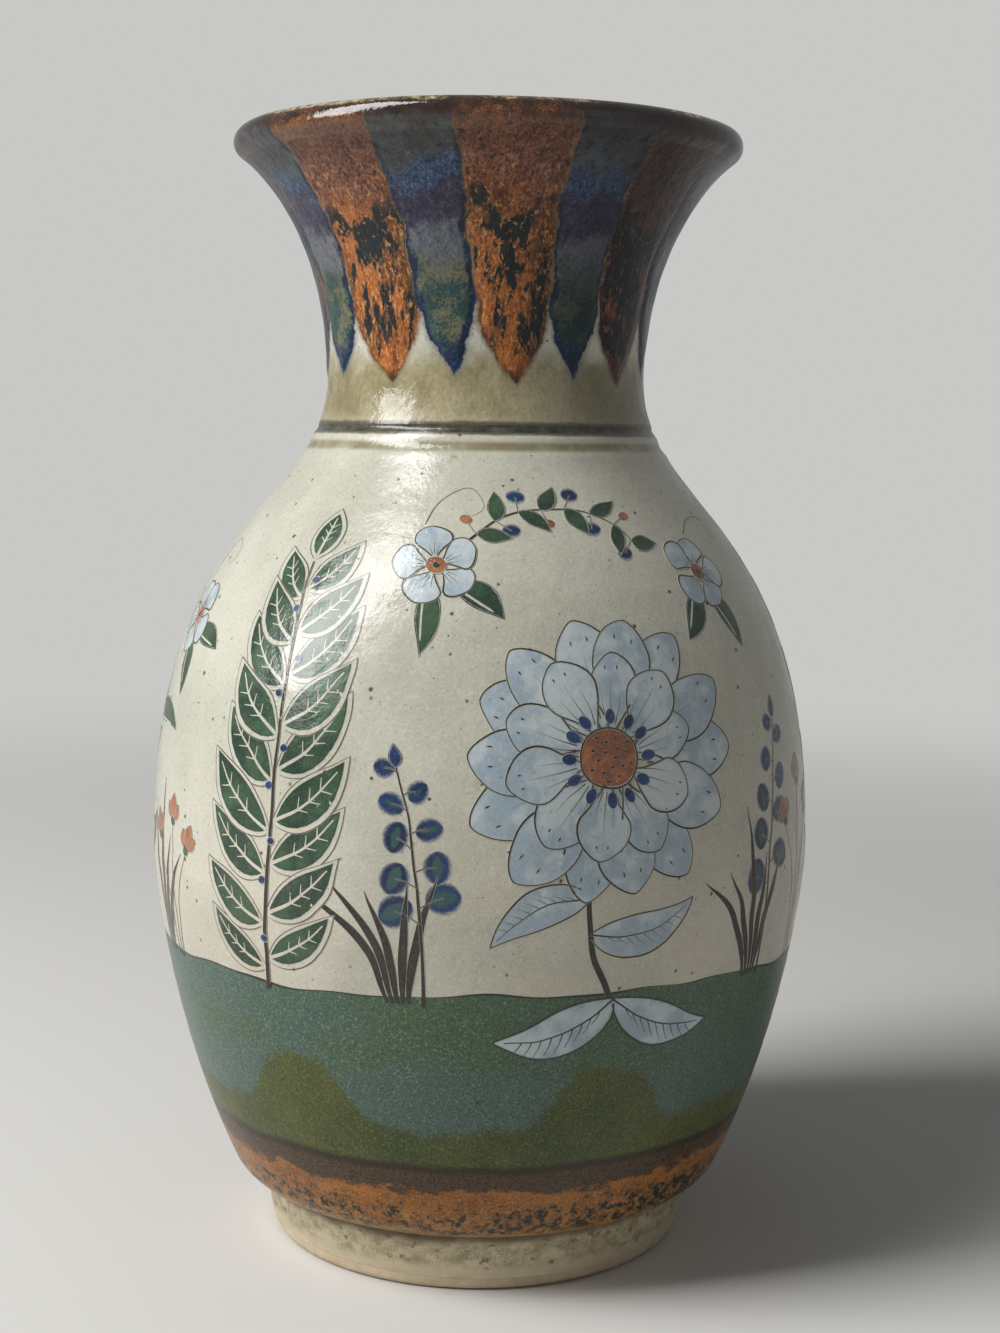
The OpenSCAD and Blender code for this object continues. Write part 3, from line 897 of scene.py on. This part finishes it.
# The turned foot: a bevelled ring with a shallow hollow under it, closed through the floor.
footSection = [(0, 4.55), (20, 4.55), (38.6, 4.5), (39.6, 4.1), (40.1, 3.2), (40.3, 0.9), (40.7, 0.3),
               (41.4, 0.0), (44.0, 0.0), (46.8, 0.0), (47.6, 0.25), (48.1, 0.75), (48.4, 1.4), (48.6, 2.6),
               (49.1, 7.0), (49.6, 13.3), (49.0, 13.45), (39.0, 13.9), (0, 13.9)]
foot = thrown("turnedFoot", footSection, closed=False)
finishPiece(foot, paint["clay"], "stoneware_clay", "foot_ring", "floor_disc")


def footPits(phi, z):
    dent = math.sin(9 * phi + 1.3) * math.sin(23 * phi + z) + 0.7 * math.sin(41 * phi - 0.8 * z + 2.0)
    return 0.13 * dent * ramp(z, 3.5, 2)


footCoatSection = [(48.75, 3.0), (49.0, 3.3), (49.25, 4.2), (49.45, 5.5), (49.6, 6.8), (49.75, 8.1),
                   (49.9, 9.4), (50.03, 10.6), (50.1, 11.5), (50.0, 12.2), (49.75, 12.8), (49.65, 13.45),
                   (49.2, 13.4), (48.6, 5.0)]
footCoat = thrown("footCoat", footCoatSection, turns=320)
shapeByHand(footCoat, extra=lambda phi, z: footPits(phi, z) + wall["inset"])
finishPiece(footCoat, paint["foot"], "thin_celadon_glaze", "foot_glaze")

# The lip: over the rolled top of the wall, from the neck's coat outside to the liner inside.
flareEnd = np.array(outline["flare"][3])
flareWay = flareEnd - np.array(outline["flare"][2])
flareWay /= np.linalg.norm(flareWay)
inwardWay = np.array([-flareWay[1], flareWay[0]])


def innerPoint(z, depth):
    across, up = outwardAt(z)
    return radiusAt(z) - across * depth, z - up * depth


def lipArc(depth, count=22):
    middle = flareEnd + inwardWay * wall["thickness"] / 2
    start = math.atan2(flareWay[1], flareWay[0]) - math.pi / 2
    reach = wall["thickness"] / 2 - depth
    angles = [start + math.pi * i / count for i in range(count + 1)]
    return [tuple(middle + reach * np.array([math.cos(angle), math.sin(angle)])) for angle in angles]


lipInside = (249.0, 248.2, 247.4)    # heights at which the lip's coat ends inside
inner = wall["thickness"] - wall["coat"]
lipSection = [(radiusAt(lipLow), lipLow)] + lipArc(0.0)
lipSection += [innerPoint(z, wall["thickness"]) for z in lipInside]
lipSection += [innerPoint(z, inner) for z in lipInside[::-2]] + lipArc(wall["coat"])[::-1]
lipSection += [innerPoint(lipLow, wall["coat"])]
lip = thrown("lipCoat", lipSection)
shapeByHand(lip)
finishPiece(lip, paint["lip"], "brown_glaze", "lip_glaze")

# The liner: inside, from the lip's coat down to the floor.
linerTop, linerLow, linerRow = lipInside[-1], 24, 3.2
linerHeights = [linerTop - linerRow * i for i in range(int((linerTop - linerLow) / linerRow))]
linerSection = [innerPoint(z, wall["thickness"]) for z in linerHeights]
linerSection += [(51.5, 20.2), (50.0, 18.0), (47.5, 16.2), (44.0, 15.0), (40.0, 14.55), (20.0, 14.5),
                 (0, 14.5)]
linerBack = [(0, 14.1), (40.0, 14.1), (44.6, 14.6), (48.0, 15.8), (50.6, 17.7), (52.1, 20.0)]
linerBack += [innerPoint(z, inner) for z in linerHeights[::-1]]
liner = thrown("linerCoat", linerSection + linerBack, turns=160)
shapeByHand(liner)
finishPiece(liner, paint["liner"], "liner_glaze", "liner_glaze")
print("foot, lip and liner thrown")

# The clay walls stay as they are under the coats.
for name in ("bowl_wall", "shoulder_wall", "neck_wall", "lip_ring"):
    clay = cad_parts[name].data
    clay.materials.clear()
    clay.materials.append(paint["clay"])


# Collects brushed shapes in one mesh, with a map of each one's edge; done() gives them their thickness.
class Slip:
    def __init__(self, name):
        self.name = name
        self.shape = bmesh.new()
        self.map = self.shape.loops.layers.uv.new("brush")

    # rows of (phi, z, lift, edge distance in mm, share along), all of one length
    def lay(self, rows):
        points = [[self.shape.verts.new(onWall(*point[:3])) for point in row] for row in rows]
        for i in range(len(rows) - 1):
            for j in range(len(rows[0]) - 1):
                corners = [(i, j), (i, j + 1), (i + 1, j + 1), (i + 1, j)]
                face = self.shape.faces.new([points[a][b] for a, b in corners])
                for loop, (a, b) in zip(face.loops, corners):
                    loop[self.map].uv = (rows[a][b][3] / edgeScale, rows[a][b][4])

    def done(self, thickness, material, slot, *nodes):
        mesh = bpy.data.meshes.new(self.name)
        bmesh.ops.remove_doubles(self.shape, verts=self.shape.verts, dist=0.000004)
        self.shape.normal_update()
        turnedIn = [face for face in self.shape.faces if face.normal.xy.dot(face.calc_center_median().xy) < 0]
        bmesh.ops.reverse_faces(self.shape, faces=turnedIn)
        self.shape.to_mesh(mesh)
        self.shape.free()
        piece = newPiece(self.name, mesh)
        body = piece.modifiers.new("body", "SOLIDIFY")
        body.thickness = thickness * mm
        body.offset = -1
        bpy.ops.object.modifier_apply(modifier=body.name)
        bpy.ops.object.shade_smooth_by_angle(angle=math.radians(50))
        return finishPiece(piece, material, slot, *nodes)


tongues = {
    "across": 16, "along": 64, "relief": 0.32, "under": 0.15, "rounding": 2.2,
    "join": 0.35, "joinFrom": 216, "joinOver": 18,     # degrees wider, where neighbours melt together
    "past": 1.3, "sink": 0.15, "thinOver": 12.0,       # how the top runs on under the lip's coat
}


def tongue(name, centre, half, tip, seed, slot, node):
    chance = random.Random(seed)
    swell, low = chance.uniform(0, 6.28), tip + chance.uniform(0.0, 1.2)
    top = neckPattern["top"] + tongues["past"]
    rows = []
    for i in range(tongues["along"] + 1):
        share = i / tongues["along"]
        z = low + (top - low) * share
        full = 1 - max(0.0, 1 - (z - low) / neckPattern["tipRun"]) ** neckPattern["fullness"]
        full *= 1 - 0.02 * (1 + math.sin(z / 2.6 + swell)) * (1 - share)
        joined = ramp(z, tongues["joinFrom"], tongues["joinOver"])
        width = math.radians(half + tongues["join"] * joined) * full
        row = []
        for j in range(tongues["across"] + 1):
            s = math.sin(math.pi / 2 * (2 * j / tongues["across"] - 1))
            turned = math.radians(centre) + s * width
            phi = turned + tongueStray(turned + tongueStray(turned, z), z)
            edge = min((1 - abs(s)) * width * radiusAt(z), (z - low) * 0.6)
            rounded = min(1.0, edge / tongues["rounding"])
            rounded *= rounded * (3 - 2 * rounded)
            rounded += (1 - rounded) * 0.7 * joined
            thin = min(1.0, max(0.04, (neckPattern["top"] - z) / tongues["thinOver"]))
            sunk = tongues["sink"] * max(0.0, z - neckPattern["top"])
            row.append((phi, z, tongues["relief"] * rounded * thin - sunk, edge, share))
        rows.append(row)
    slip = Slip(name)
    slip.lay(rows)
    return slip.done(tongues["relief"] + tongues["under"], paint["tongue"], slot, node)


pitch = 360 / neckPattern["pairs"]
for i in range(neckPattern["pairs"]):
    rustAt = neckPattern["firstRust"] + i * pitch
    for colour, centre, seed in (("rust", rustAt, 11 + i), ("blue", rustAt + pitch / 2, 31 + i)):
        name, node = f"{colour}Tongue{i + 1}", f"{colour}_tongue_{i + 1}"
        half, tip = neckPattern[colour + "Half"], neckPattern[colour + "Tip"]
        tongue(name, centre, half, tip, seed, f"{colour}_glaze", node)
print("tongues brushed")


# In millimetres; the two rates are to one millimetre, and the first layer's height is in layers.
brush = {
    "layer": 0.018, "first": 1.2,                      # how far the layers stand apart
    "body": 0.32, "columns": 6,
    "ink": 0.46, "fine": 0.32, "hair": 0.28,           # widths of line
    "bleed": 0.6,                                      # how far cobalt spreads into the glaze round it
    "wobble": 0.55, "wobbleRate": 0.11,                # how a whole motif wanders
    "stray": 0.22, "strayRate": 0.16,                  # how a stroke wanders
}


def runAt(z):
    return float(np.interp(z, outer[:, 1], outerRun))


# A place to paint from: turns points of a flat drawing, x + iy in millimetres, into angle and height.
def easel(degrees, height, turn, mirror):
    start, spin = runAt(height), cmath.rect(1, math.radians(turn))

    def where(point):
        rate = brush["wobbleRate"]
        sway = noiseVector(Vector((point.real * rate, point.imag * rate, degrees + height)))
        point = spin * (point + complex(sway[0], sway[1]) * brush["wobble"])
        z = float(np.interp(start + point.imag, outerRun, outer[:, 1]))
        across = -point.real if mirror else point.real
        return math.radians(degrees) + across / radiusAt(z), z
    return where


# A smooth line through the points, in steps of about a millimetre.
def flowing(points, step=1.1):
    ends = [2 * points[0] - points[1]] + list(points) + [2 * points[-1] - points[-2]]
    line = []
    for a, b, c, d in zip(ends, ends[1:], ends[2:], ends[3:]):
        count = max(2, round(abs(c - b) / step))
        for i in range(count):
            t = i / count
            line.append(0.5 * (2 * b + (c - a) * t + (2 * a - 5 * b + 4 * c - d) * t * t
                               + (3 * b - a - 3 * c + d) * t ** 3))
    return line + [points[-1]]


def polar(length, degrees):
    return cmath.rect(length, math.radians(degrees))


# Lays a ribbon along a line of points, as wide on each side as half says.
def ribbon(slip, where, line, half, layer, columns):
    count = len(line) - 1
    rows = []
    for i, point in enumerate(line):
        along = line[min(count, i + 1)] - line[max(0, i - 1)]
        side = along / (abs(along) or 1) * 1j
        row = []
        for j in range(columns + 1):
            s = 2 * j / columns - 1
            phi, z = where(point + side * s * half[i])
            lift = (layer + brush["first"]) * brush["layer"]
            row.append((phi, z, lift, (1 - abs(s)) * half[i], i / count))
        rows.append(row)
    slip.lay(rows)


def swelling(t):
    return min(1.0, 0.35 + 2.6 * math.sin(math.pi * t))


# A stroke that starts this wide and loses a share of it along the way.
def easing(start, loss=0.0):
    return lambda t: start - loss * t


# One stroke of the brush, pressed as the press function says.
def stroke(slip, where, points, width, layer, press=swelling, columns=2):
    line = []
    for point in flowing(points):
        stray = noiseVector(Vector((point.real * brush["strayRate"], point.imag * brush["strayRate"], 7.0)))
        line.append(point + complex(stray[0], stray[1]) * brush["stray"])
    half = [width / 2 * press(i / (len(line) - 1)) for i in range(len(line))]
    ribbon(slip, where, line, half, layer, columns)


# Half the width of a petal, leaf, bud or dab at a share of its length.
def fullness(kind, t):
    if kind == "dab":
        return 2 * math.sqrt(max(0.0, t * (1 - t)))
    if kind == "petal":
        return max(0.0, math.sin(math.pi * t ** 1.45)) ** 0.62 * (0.35 + 0.65 * min(1, t / 0.5))
    return max(0.0, math.sin(math.pi * t ** (0.80 if kind == "leaf" else 1.15))) ** 0.9


def bent(root, tip, bend, t):
    return root + (tip - root) * (t + bend * 4j * t * (1 - t))


def midrib(root, tip, bend, shares):
    return [bent(root, tip, bend, t) for t in shares]


# The line down a shape's middle and its half widths, closer together towards its ends.
def body(root, tip, half, kind, bend, start=0.0):
    count = max(10, round(abs(tip - root) / 1.6))
    steps = [start + (1 - start) * (1 - math.cos(math.pi * i / count)) / 2 for i in range(count + 1)]
    return [bent(root, tip, bend, t) for t in steps], [half * fullness(kind, t) for t in steps]


def fill(slip, where, root, tip, half, layer, kind="petal", bend=0.0):
    line, halves = body(root, tip, half, kind, bend)
    ribbon(slip, where, line, halves, layer, brush["columns"])


def rim(root, tip, half, kind="petal", bend=0.0, start=0.02):
    line, halves = body(root, tip, half, kind, bend, start)
    sides = []
    for way in (1, -1):
        for i, point in enumerate(line):
            along = line[min(len(line) - 1, i + 1)] - line[max(0, i - 1)]
            sides.append(point + along / abs(along) * 1j * way * halves[i])
    return sides[:len(line)] + sides[:len(line) - 1:-1]


def pressed(t):
    return 0.60 + 0.35 * math.sin(math.pi * t) + 0.22 * math.sin(9 * t + 1)


def outlined(slips, pot, where, root, tip, half, layer, kind="petal", bend=0.0, width=None):
    fill(slips[pot], where, root, tip, half, layer, kind, bend)
    stroke(slips["ink"], where, rim(root, tip, half, kind, bend), width or brush["ink"], layer + 1, pressed)


def dab(slip, where, middle, size, layer, degrees=0.0, long=1.0):
    size += brush["bleed"] if slip.name.endswith("cobalt") else 0.0
    arm = polar(size * long, degrees)
    fill(slip, where, middle - arm, middle + arm, size, layer, "dab")


# An open many-petalled bloom in pale blue, drawn in ink, with a rust heart in a ring of cobalt.
bloomSpec = {"rings": ((14, 30.5, 6.4, 2, 0), (10, 21.5, 5.6, 6, 13)), "heart": 6.2, "seeds": 17, "beads": 12}


def bloom(slips, where, seed):
    chance = random.Random(seed)
    for count, length, half, layer, first in bloomSpec["rings"]:
        for i in range(count):
            angle = first + 360 * i / count + chance.uniform(-2.5, 2.5)
            root, tip = polar(4.5, angle), polar(length * chance.uniform(0.93, 1.05), angle)
            over, bend = layer + 2 * (i % 2), chance.uniform(-0.04, 0.04)
            wide = half * chance.uniform(0.94, 1.06)
            outlined(slips, "paleBlue", where, root, tip, wide, over, "petal", bend)
            for k in (-1, 0, 1):
                start = root + (tip - root) * complex(0.16, 0.05 * k)
                end = root + (tip - root) * complex(0.74 - 0.13 * abs(k), 0.135 * k)
                stroke(slips["ink"], where, [start, (start + end) / 2 + (end - start) * 0.04j * k, end],
                       brush["fine"], over + 1, easing(1.0, 0.75))
            for k in (-0.5, 0.5):
                at = root + (tip - root) * complex(0.80, 0.16 * k)
                stroke(slips["ink"], where, [at, at + (tip - root) * 0.05], 0.5, over + 1)
    heart = bloomSpec["heart"]
    dab(slips["rustWash"], where, 0j, heart, 10)
    stroke(slips["ink"], where, [polar(heart + 0.1, 22.5 * i) for i in range(17)], 0.55, 11, easing(0.9))
    for i in range(bloomSpec["beads"]):
        angle = 360 * i / bloomSpec["beads"] + chance.uniform(-4, 4)
        dab(slips["cobaltDot"], where, polar(heart + 2.5, angle), 1.25, 11, angle, 1.3)
    for i in range(bloomSpec["seeds"]):
        out = heart * 0.86 * math.sqrt((i + 0.5) / bloomSpec["seeds"])
        dab(slips["ink"], where, polar(out, 137.5 * i), 0.40, 11)


# A tall branch of pointed leaves in pairs, each ringed by bare glaze and a fine line, with a bare midrib.
branchSpec = {"height": 92.0, "pairs": 9, "leaf": 19.5, "half": 4.3, "sway": 4.0, "rise": 36.0, "bare": 0.8}


def branch(slips, where, seed):
    chance = random.Random(seed)
    stem = [complex(branchSpec["sway"] * math.sin(2.6 * t + 0.3), branchSpec["height"] * t)
            for t in np.linspace(0, 1, 9)]
    stroke(slips["ink"], where, stem, 1.2, 7, easing(1.0, 0.6))
    smooth = flowing(stem)
    for i in range(branchSpec["pairs"] + 1):
        t = min(1.0, 0.06 + 0.94 * i / branchSpec["pairs"])
        at = smooth[int(t * (len(smooth) - 1))]
        length = branchSpec["leaf"] * (0.60 + 0.50 * math.sin(math.pi * min(1, t * 0.80 + 0.20)))
        for way in (1, -1) if i < branchSpec["pairs"] else (0.12,):
            angle = 90 - way * (branchSpec["rise"] + 20 - 24 * t + chance.uniform(-4, 4))
            root = at + polar(1.4, angle) + (2.2j if way > 0 and i < branchSpec["pairs"] else 0)
            tip = root + polar(length * chance.uniform(0.93, 1.04), angle)
            half = branchSpec["half"] * (0.72 + 0.3 * math.sin(math.pi * t))
            bend, over = -way * chance.uniform(0.06, 0.10), 1 + 3 * (i % 2)
            spare = polar(branchSpec["bare"], angle)
            wide = (root - spare, tip + 1.6 * spare, half + branchSpec["bare"])
            fill(slips["bare"], where, *wide, over, "leaf", bend)
            stroke(slips["ink"], where, rim(*wide, "leaf", bend), brush["fine"], over + 1, pressed)
            fill(slips["leafGreen"], where, root, tip, half, over + 1, "leaf", bend)
            vein = midrib(root, tip, bend, (0.0, 0.3, 0.6, 0.88))
            stroke(slips["bare"], where, vein, 0.8, over + 2, easing(1.0, 0.65))
            for k in (0.30, 0.46, 0.62):
                for side in (1, -1):
                    start = bent(root, tip, bend, k)
                    vein = [start, start + polar(half * 0.62, angle + side * 48)]
                    stroke(slips["bare"], where, vein, brush["fine"], over + 2, easing(1.0, 0.5))
            if way in (1, -1) and i % 2 == (way > 0):
                dab(slips["cobaltDot"], where, root + polar(length * 0.34, angle + way * 66), 0.95, 7)


# An arching stem with berries in cobalt, each bled into the glaze round it.
def berrySprig(slips, where, seed, count=9, length=46.0, lean=0.35, size=3.1):
    chance = random.Random(seed)
    stem = [complex(lean * length * t * t, length * (t - 0.18 * t * t)) for t in np.linspace(0, 1, 7)]
    stroke(slips["ink"], where, stem, 0.85, 2, easing(1.1, 0.6))
    smooth = flowing(stem)
    for i in range(count):
        at = smooth[int((0.36 + 0.62 * i / (count - 1)) * (len(smooth) - 1))]
        round_ = size * (1 - 0.5 * i / (count - 1))
        berry = at + polar(round_ * 1.85, 90 - (68 if i % 2 else -68) + chance.uniform(-12, 12))
        stroke(slips["ink"], where, [at, (at + berry) / 2 + 0.4j, berry], brush["fine"], 2, easing(1.0))
        dab(slips["cobalt"], where, berry, round_, 0.2, chance.uniform(0, 180), 1.08)
    end = smooth[-1]
    outlined(slips, "cobaltDot", where, end, end + polar(5.0, 90 - 60 * lean), 1.3, 3, "leaf", 0, 0.3)


# Buds of three rust petals on thin stems.
def budStems(slips, where, seed, stems=3, height=34.0):
    chance = random.Random(seed)
    for i in range(stems):
        spread = (i - (stems - 1) / 2) * 9.0 + chance.uniform(-1, 1)
        top = complex(spread, height * (1.0 - 0.20 * abs(i - 1) + chance.uniform(-0.06, 0.06)))
        stroke(slips["ink"], where, [complex(spread * 0.15, 0), complex(spread * 0.35, top.imag * 0.55), top],
               brush["ink"], 2, easing(1.1, 0.5))
        face = 90 - spread * 2.2
        for turn, layer in ((-36, 3), (36, 3), (0, 4)):
            petal = polar(5.4 if turn else 6.4, face + turn)
            fill(slips["rustWash"], where, top, top + petal, 1.9, layer, "bud")
        stroke(slips["ink"], where, rim(top, top + petal, 1.9, "bud"), brush["hair"], 5, easing(0.9))
        dab(slips["leafGreen"], where, top, 1.2, 6)


# A blade is thin at its root and its tip.
def bladePress(t):
    return 0.14 + 0.86 * math.sin(math.pi * min(1, 0.12 + t * 0.88)) ** 1.2


# Slender blades of grass in dark brown that fan out from one root.
def grass(slips, where, seed, blades=5, height=36.0, lean=0.0):
    chance = random.Random(seed)
    for i in range(blades):
        fan = lean + 13.0 * (i - (blades - 1) / 2) + chance.uniform(-3, 3)
        tall = height * chance.uniform(0.62, 1.05) * (1 - 0.004 * abs(fan))
        root = complex(1.1 * (i - (blades - 1) / 2), -0.6)
        points = [root] + [root + polar(tall * t, 90 - fan * (0.25 + 0.75 * t)) for t in (0.35, 0.7, 1.0)]
        stroke(slips["ink"], where, points, 2.0, 1 + (i % 2), bladePress, 4)


# A small five-petalled blossom with leaves and a curling tendril.
def blossom(slips, where, seed, radius=9.5, leaves=(-62, -118)):
    chance = random.Random(seed)
    for angle in leaves:
        root, tip = polar(radius * 0.6, angle), polar(radius * 2.1, angle + 12)
        outlined(slips, "leafGreen", where, root, tip, 2.7, 1, "leaf", 0.08, brush["fine"])
        vein = [polar(radius * 0.9, angle + 3), polar(radius * 1.8, angle + 11)]
        stroke(slips["bare"], where, vein, 0.45, 2.2)
    curl = [1.1 * radius * 1j - 1, 1.75 * radius * 1j + 3, 1.9 * radius * 1j + 9, 1.35 * radius * 1j + 11.5,
            1.15 * radius * 1j + 8.5, 1.40 * radius * 1j + 7.0]
    stroke(slips["ink"], where, curl, brush["fine"], 1.5, easing(1.1, 0.7))
    for i in range(5):
        angle, over = 90 + 72 * i + chance.uniform(-4, 4), (3, 5, 3, 5, 7)[i]
        tip, bend = polar(radius * chance.uniform(0.94, 1.06), angle), chance.uniform(-0.05, 0.05)
        outlined(slips, "paleBlue", where, polar(1.2, angle), tip, radius * 0.42, over, "petal", bend)
        for k in (-1, 0, 1):
            end = polar(radius * (0.66 - 0.1 * abs(k)), angle + 14 * k)
            vein = [polar(radius * 0.28, angle + 10 * k), end]
            stroke(slips["ink"], where, vein, brush["hair"], over + 1, easing(1.0, 0.6))
    dab(slips["rustWash"], where, 0j, 2.2, 9)
    dab(slips["ink"], where, 0j, 0.8, 10)


# A light spray of leaves and berries across the shoulder.
def spray(slips, where, seed):
    chance = random.Random(seed)
    stem = [-19 - 5j, -12 + 0.5j, -3 + 3j, 7 + 2.2j, 15 - 2.5j, 19 - 8j]
    stroke(slips["ink"], where, stem, 0.6, 2, easing(1.1, 0.6))
    smooth = flowing(stem)
    for i in range(8):
        k = int((0.06 + 0.90 * i / 7) * (len(smooth) - 2))
        heading = math.degrees(cmath.phase(smooth[k + 1] - smooth[k]))
        way = 1 if i % 2 else -1
        tip = smooth[k] + polar(7.5 * chance.uniform(0.85, 1.1), heading + way * 52)
        outlined(slips, "leafGreen", where, smooth[k], tip, 1.9, 3, "leaf", -0.06 * way, brush["hair"])
        berry = smooth[k] + polar(4.0, heading - way * 70)
        stroke(slips["ink"], where, [smooth[k], berry], brush["hair"], 2.5, easing(1.0))
        dab(slips["cobalt" if i % 3 else "rustWash"], where, berry, 1.35, 0.4)


# A broad pale leaf with a midrib and its shade hatched in ink.
def paleLeaf(slips, where, root, tip, half, bend, layer):
    outlined(slips, "paleBlue", where, root, tip, half, layer, "leaf", bend)
    vein = midrib(root, tip, bend, (0.0, 0.3, 0.6, 0.92))
    stroke(slips["ink"], where, vein, brush["ink"], layer + 1, easing(1.0, 0.5))
    side = (tip - root) / abs(tip - root) * (1j if bend > 0 else -1j)
    for i in range(9):
        t = 0.14 + 0.082 * i
        start, reach = bent(root, tip, bend, t), half * fullness("leaf", t)
        hatch = [start, start + side * reach * 0.36 + (tip - root) * 0.045,
                 start + side * reach * 0.66 + (tip - root) * 0.10]
        stroke(slips["ink"], where, hatch, brush["hair"], layer + 1, easing(1.0, 0.6))


# All the brushwork of one side, gathered in one mesh for each pot of colour.
potSlots = {"bare": "cream_glaze", "paleBlue": "blue_glaze", "leafGreen": "slate_green_glaze",
            "cobalt": "blue_glaze", "cobaltDot": "blue_glaze", "rustWash": "rust_glaze", "ink": "iron_ink"}


def paintSide(name, turn, seed, mirror=False):
    slips = {pot: Slip(f"{name}_{pot}") for pot in potSlots}

    def at(degrees, height, spin=0.0):
        return easel(turn + (-degrees if mirror else degrees), height, spin, mirror)

    ground, stem = groundTop, at(21, 122)
    stroke(slips["ink"], stem, [-1 - 9j, -4.5 - 24j, -4 - 38j, 1.5 - 52j], 1.4, 0.8, easing(0.75, -0.3), 3)
    paleLeaf(slips, stem, -4.5 - 36j, 20 - 30j, 4.6, -0.14, 0.6)
    paleLeaf(slips, stem, -4.5 - 28j, -25 - 38j, 4.2, -0.12, 0.6)
    paleLeaf(slips, at(21, ground), 2 + 0j, -23 - 9j, 5.2, 0.12, 2)
    paleLeaf(slips, at(21, ground), 2 + 0j, 27 - 8j, 5.0, -0.12, 2)
    bloom(slips, at(21, 122), seed)
    branch(slips, at(-37, ground - 1), seed + 1)
    berrySprig(slips, at(-8, ground - 1), seed + 2, length=60, lean=-0.10)
    grass(slips, at(-12, ground), seed + 3, lean=-14, height=36)
    berrySprig(slips, at(55, ground - 1), seed + 4, length=68, lean=0.10)
    grass(slips, at(52, ground), seed + 5, height=40, lean=-8)
    budStems(slips, at(69, ground - 1), seed + 6, height=40)
    budStems(slips, at(-62, ground - 1), seed + 7, height=32)
    grass(slips, at(-67, ground), seed + 8, blades=4, height=40, lean=6)
    blossom(slips, at(-9, 160, 12), seed + 9, 9.5)
    blossom(slips, at(50, 158, -20), seed + 10, 9.0)
    blossom(slips, at(-70, 146, 30), seed + 11, 9.0)
    spray(slips, at(17, 169), seed + 12)
    if not mirror:
        branch(slips, at(90.5, ground - 1), seed + 20)
        stroke(slips["ink"], at(-90, 126), [-8j, -1.5 - 30j, 1 - 56.5j], 1.3, 0.8, easing(0.75, -0.3), 3)
        for root, tip, bend in ((0.5 - 34j, 22 - 25j, -0.14), (-0.5 - 42j, -22 - 34j, 0.14)):
            outlined(slips, "leafGreen", at(-90, 126), root, tip, 4.0, 1.6, "leaf", bend)
            vein = midrib(root, tip, bend, (0.05, 0.4, 0.85))
            stroke(slips["bare"], at(-90, 126), vein, 0.6, 3.6)
        blossom(slips, at(-90, 126), seed + 21, 16.0, (-20, -160))
    for pot, slot in potSlots.items():
        slips[pot].done(brush["body"], paint["cream" if pot == "bare" else pot], slot)


paintSide("front", 0, 5)
paintSide("back", 180, 47, mirror=True)

# The drawn line where the ground band meets the belly.
groundLine = Slip("groundLine")
steps, lift, rows = 360, brush["first"] * brush["layer"], []
for i in range(steps + 1):
    phi = 2 * math.pi * i / steps
    z = waved(phi, groundTop)
    half = 0.22 + 0.09 * math.sin(7 * phi) + 0.07 * math.sin(19 * phi + 1)
    rows.append([(phi, z + s * half, lift, (1 - abs(s)) * half, i / steps) for s in (-1, 0, 1)])
groundLine.lay(rows)
groundLine.done(brush["body"], paint["ink"], "iron_ink")
print("belly painted")


# The camera sees the backdrop as it is, and mirrored rays see a part of it; what lights the vase is dimmer.
def seenDirectly(tree):
    rays = add("LightPath", tree=tree).outputs
    mirrored = larger(rays["Is Glossy Ray"], rays["Is Transmission Ray"])
    return larger(rays["Is Camera Ray"], times(mirrored, studio["mirrored"]))


def floorMaterial():
    material = bpy.data.materials.new("paleFloor")
    material.use_nodes = True
    tree = material.node_tree
    tree.nodes.remove(tree.nodes["Principled BSDF"])
    reach = radiusOf(add("TexCoord", tree=tree).outputs["Object"])
    seen = times(fade(reach, studio["fadeFrom"], studio["fadeTo"]), seenDirectly(tree))
    lit = add("BsdfDiffuse", {"Color": studio["floorColour"]}, tree).outputs[0]
    plain = add("Emission", {"Color": studio["backdrop"]}, tree).outputs[0]
    mixed = add("MixShader", {0: seen, 1: lit, 2: plain})
    tree.links.new(mixed.outputs[0], tree.nodes["Material Output"].inputs[0])
    return material


bpy.ops.object.select_all(action="DESELECT")
bpy.ops.mesh.primitive_circle_add(vertices=studio["floorSides"], radius=studio["floorRadius"],
                                  fill_type="NGON", location=(0, 0, -studio["floorDrop"]))
floor = bpy.context.object
floor.name = "floor"
floor.data.materials.append(floorMaterial())

world = bpy.data.worlds.new("studio")
bpy.context.scene.world = world
world.use_nodes = True
tree = world.node_tree
sky = add("Background", {"Color": studio["skyColour"], "Strength": studio["skyLight"]}, tree)
seenSky = add("Background", {"Color": studio["backdrop"], "Strength": 1.0}, tree)
mixed = add("MixShader", {0: seenDirectly(tree), 1: sky.outputs[0], 2: seenSky.outputs[0]})
tree.links.new(mixed.outputs[0], tree.nodes["World Output"].inputs[0])

bpy.context.view_layer.update()
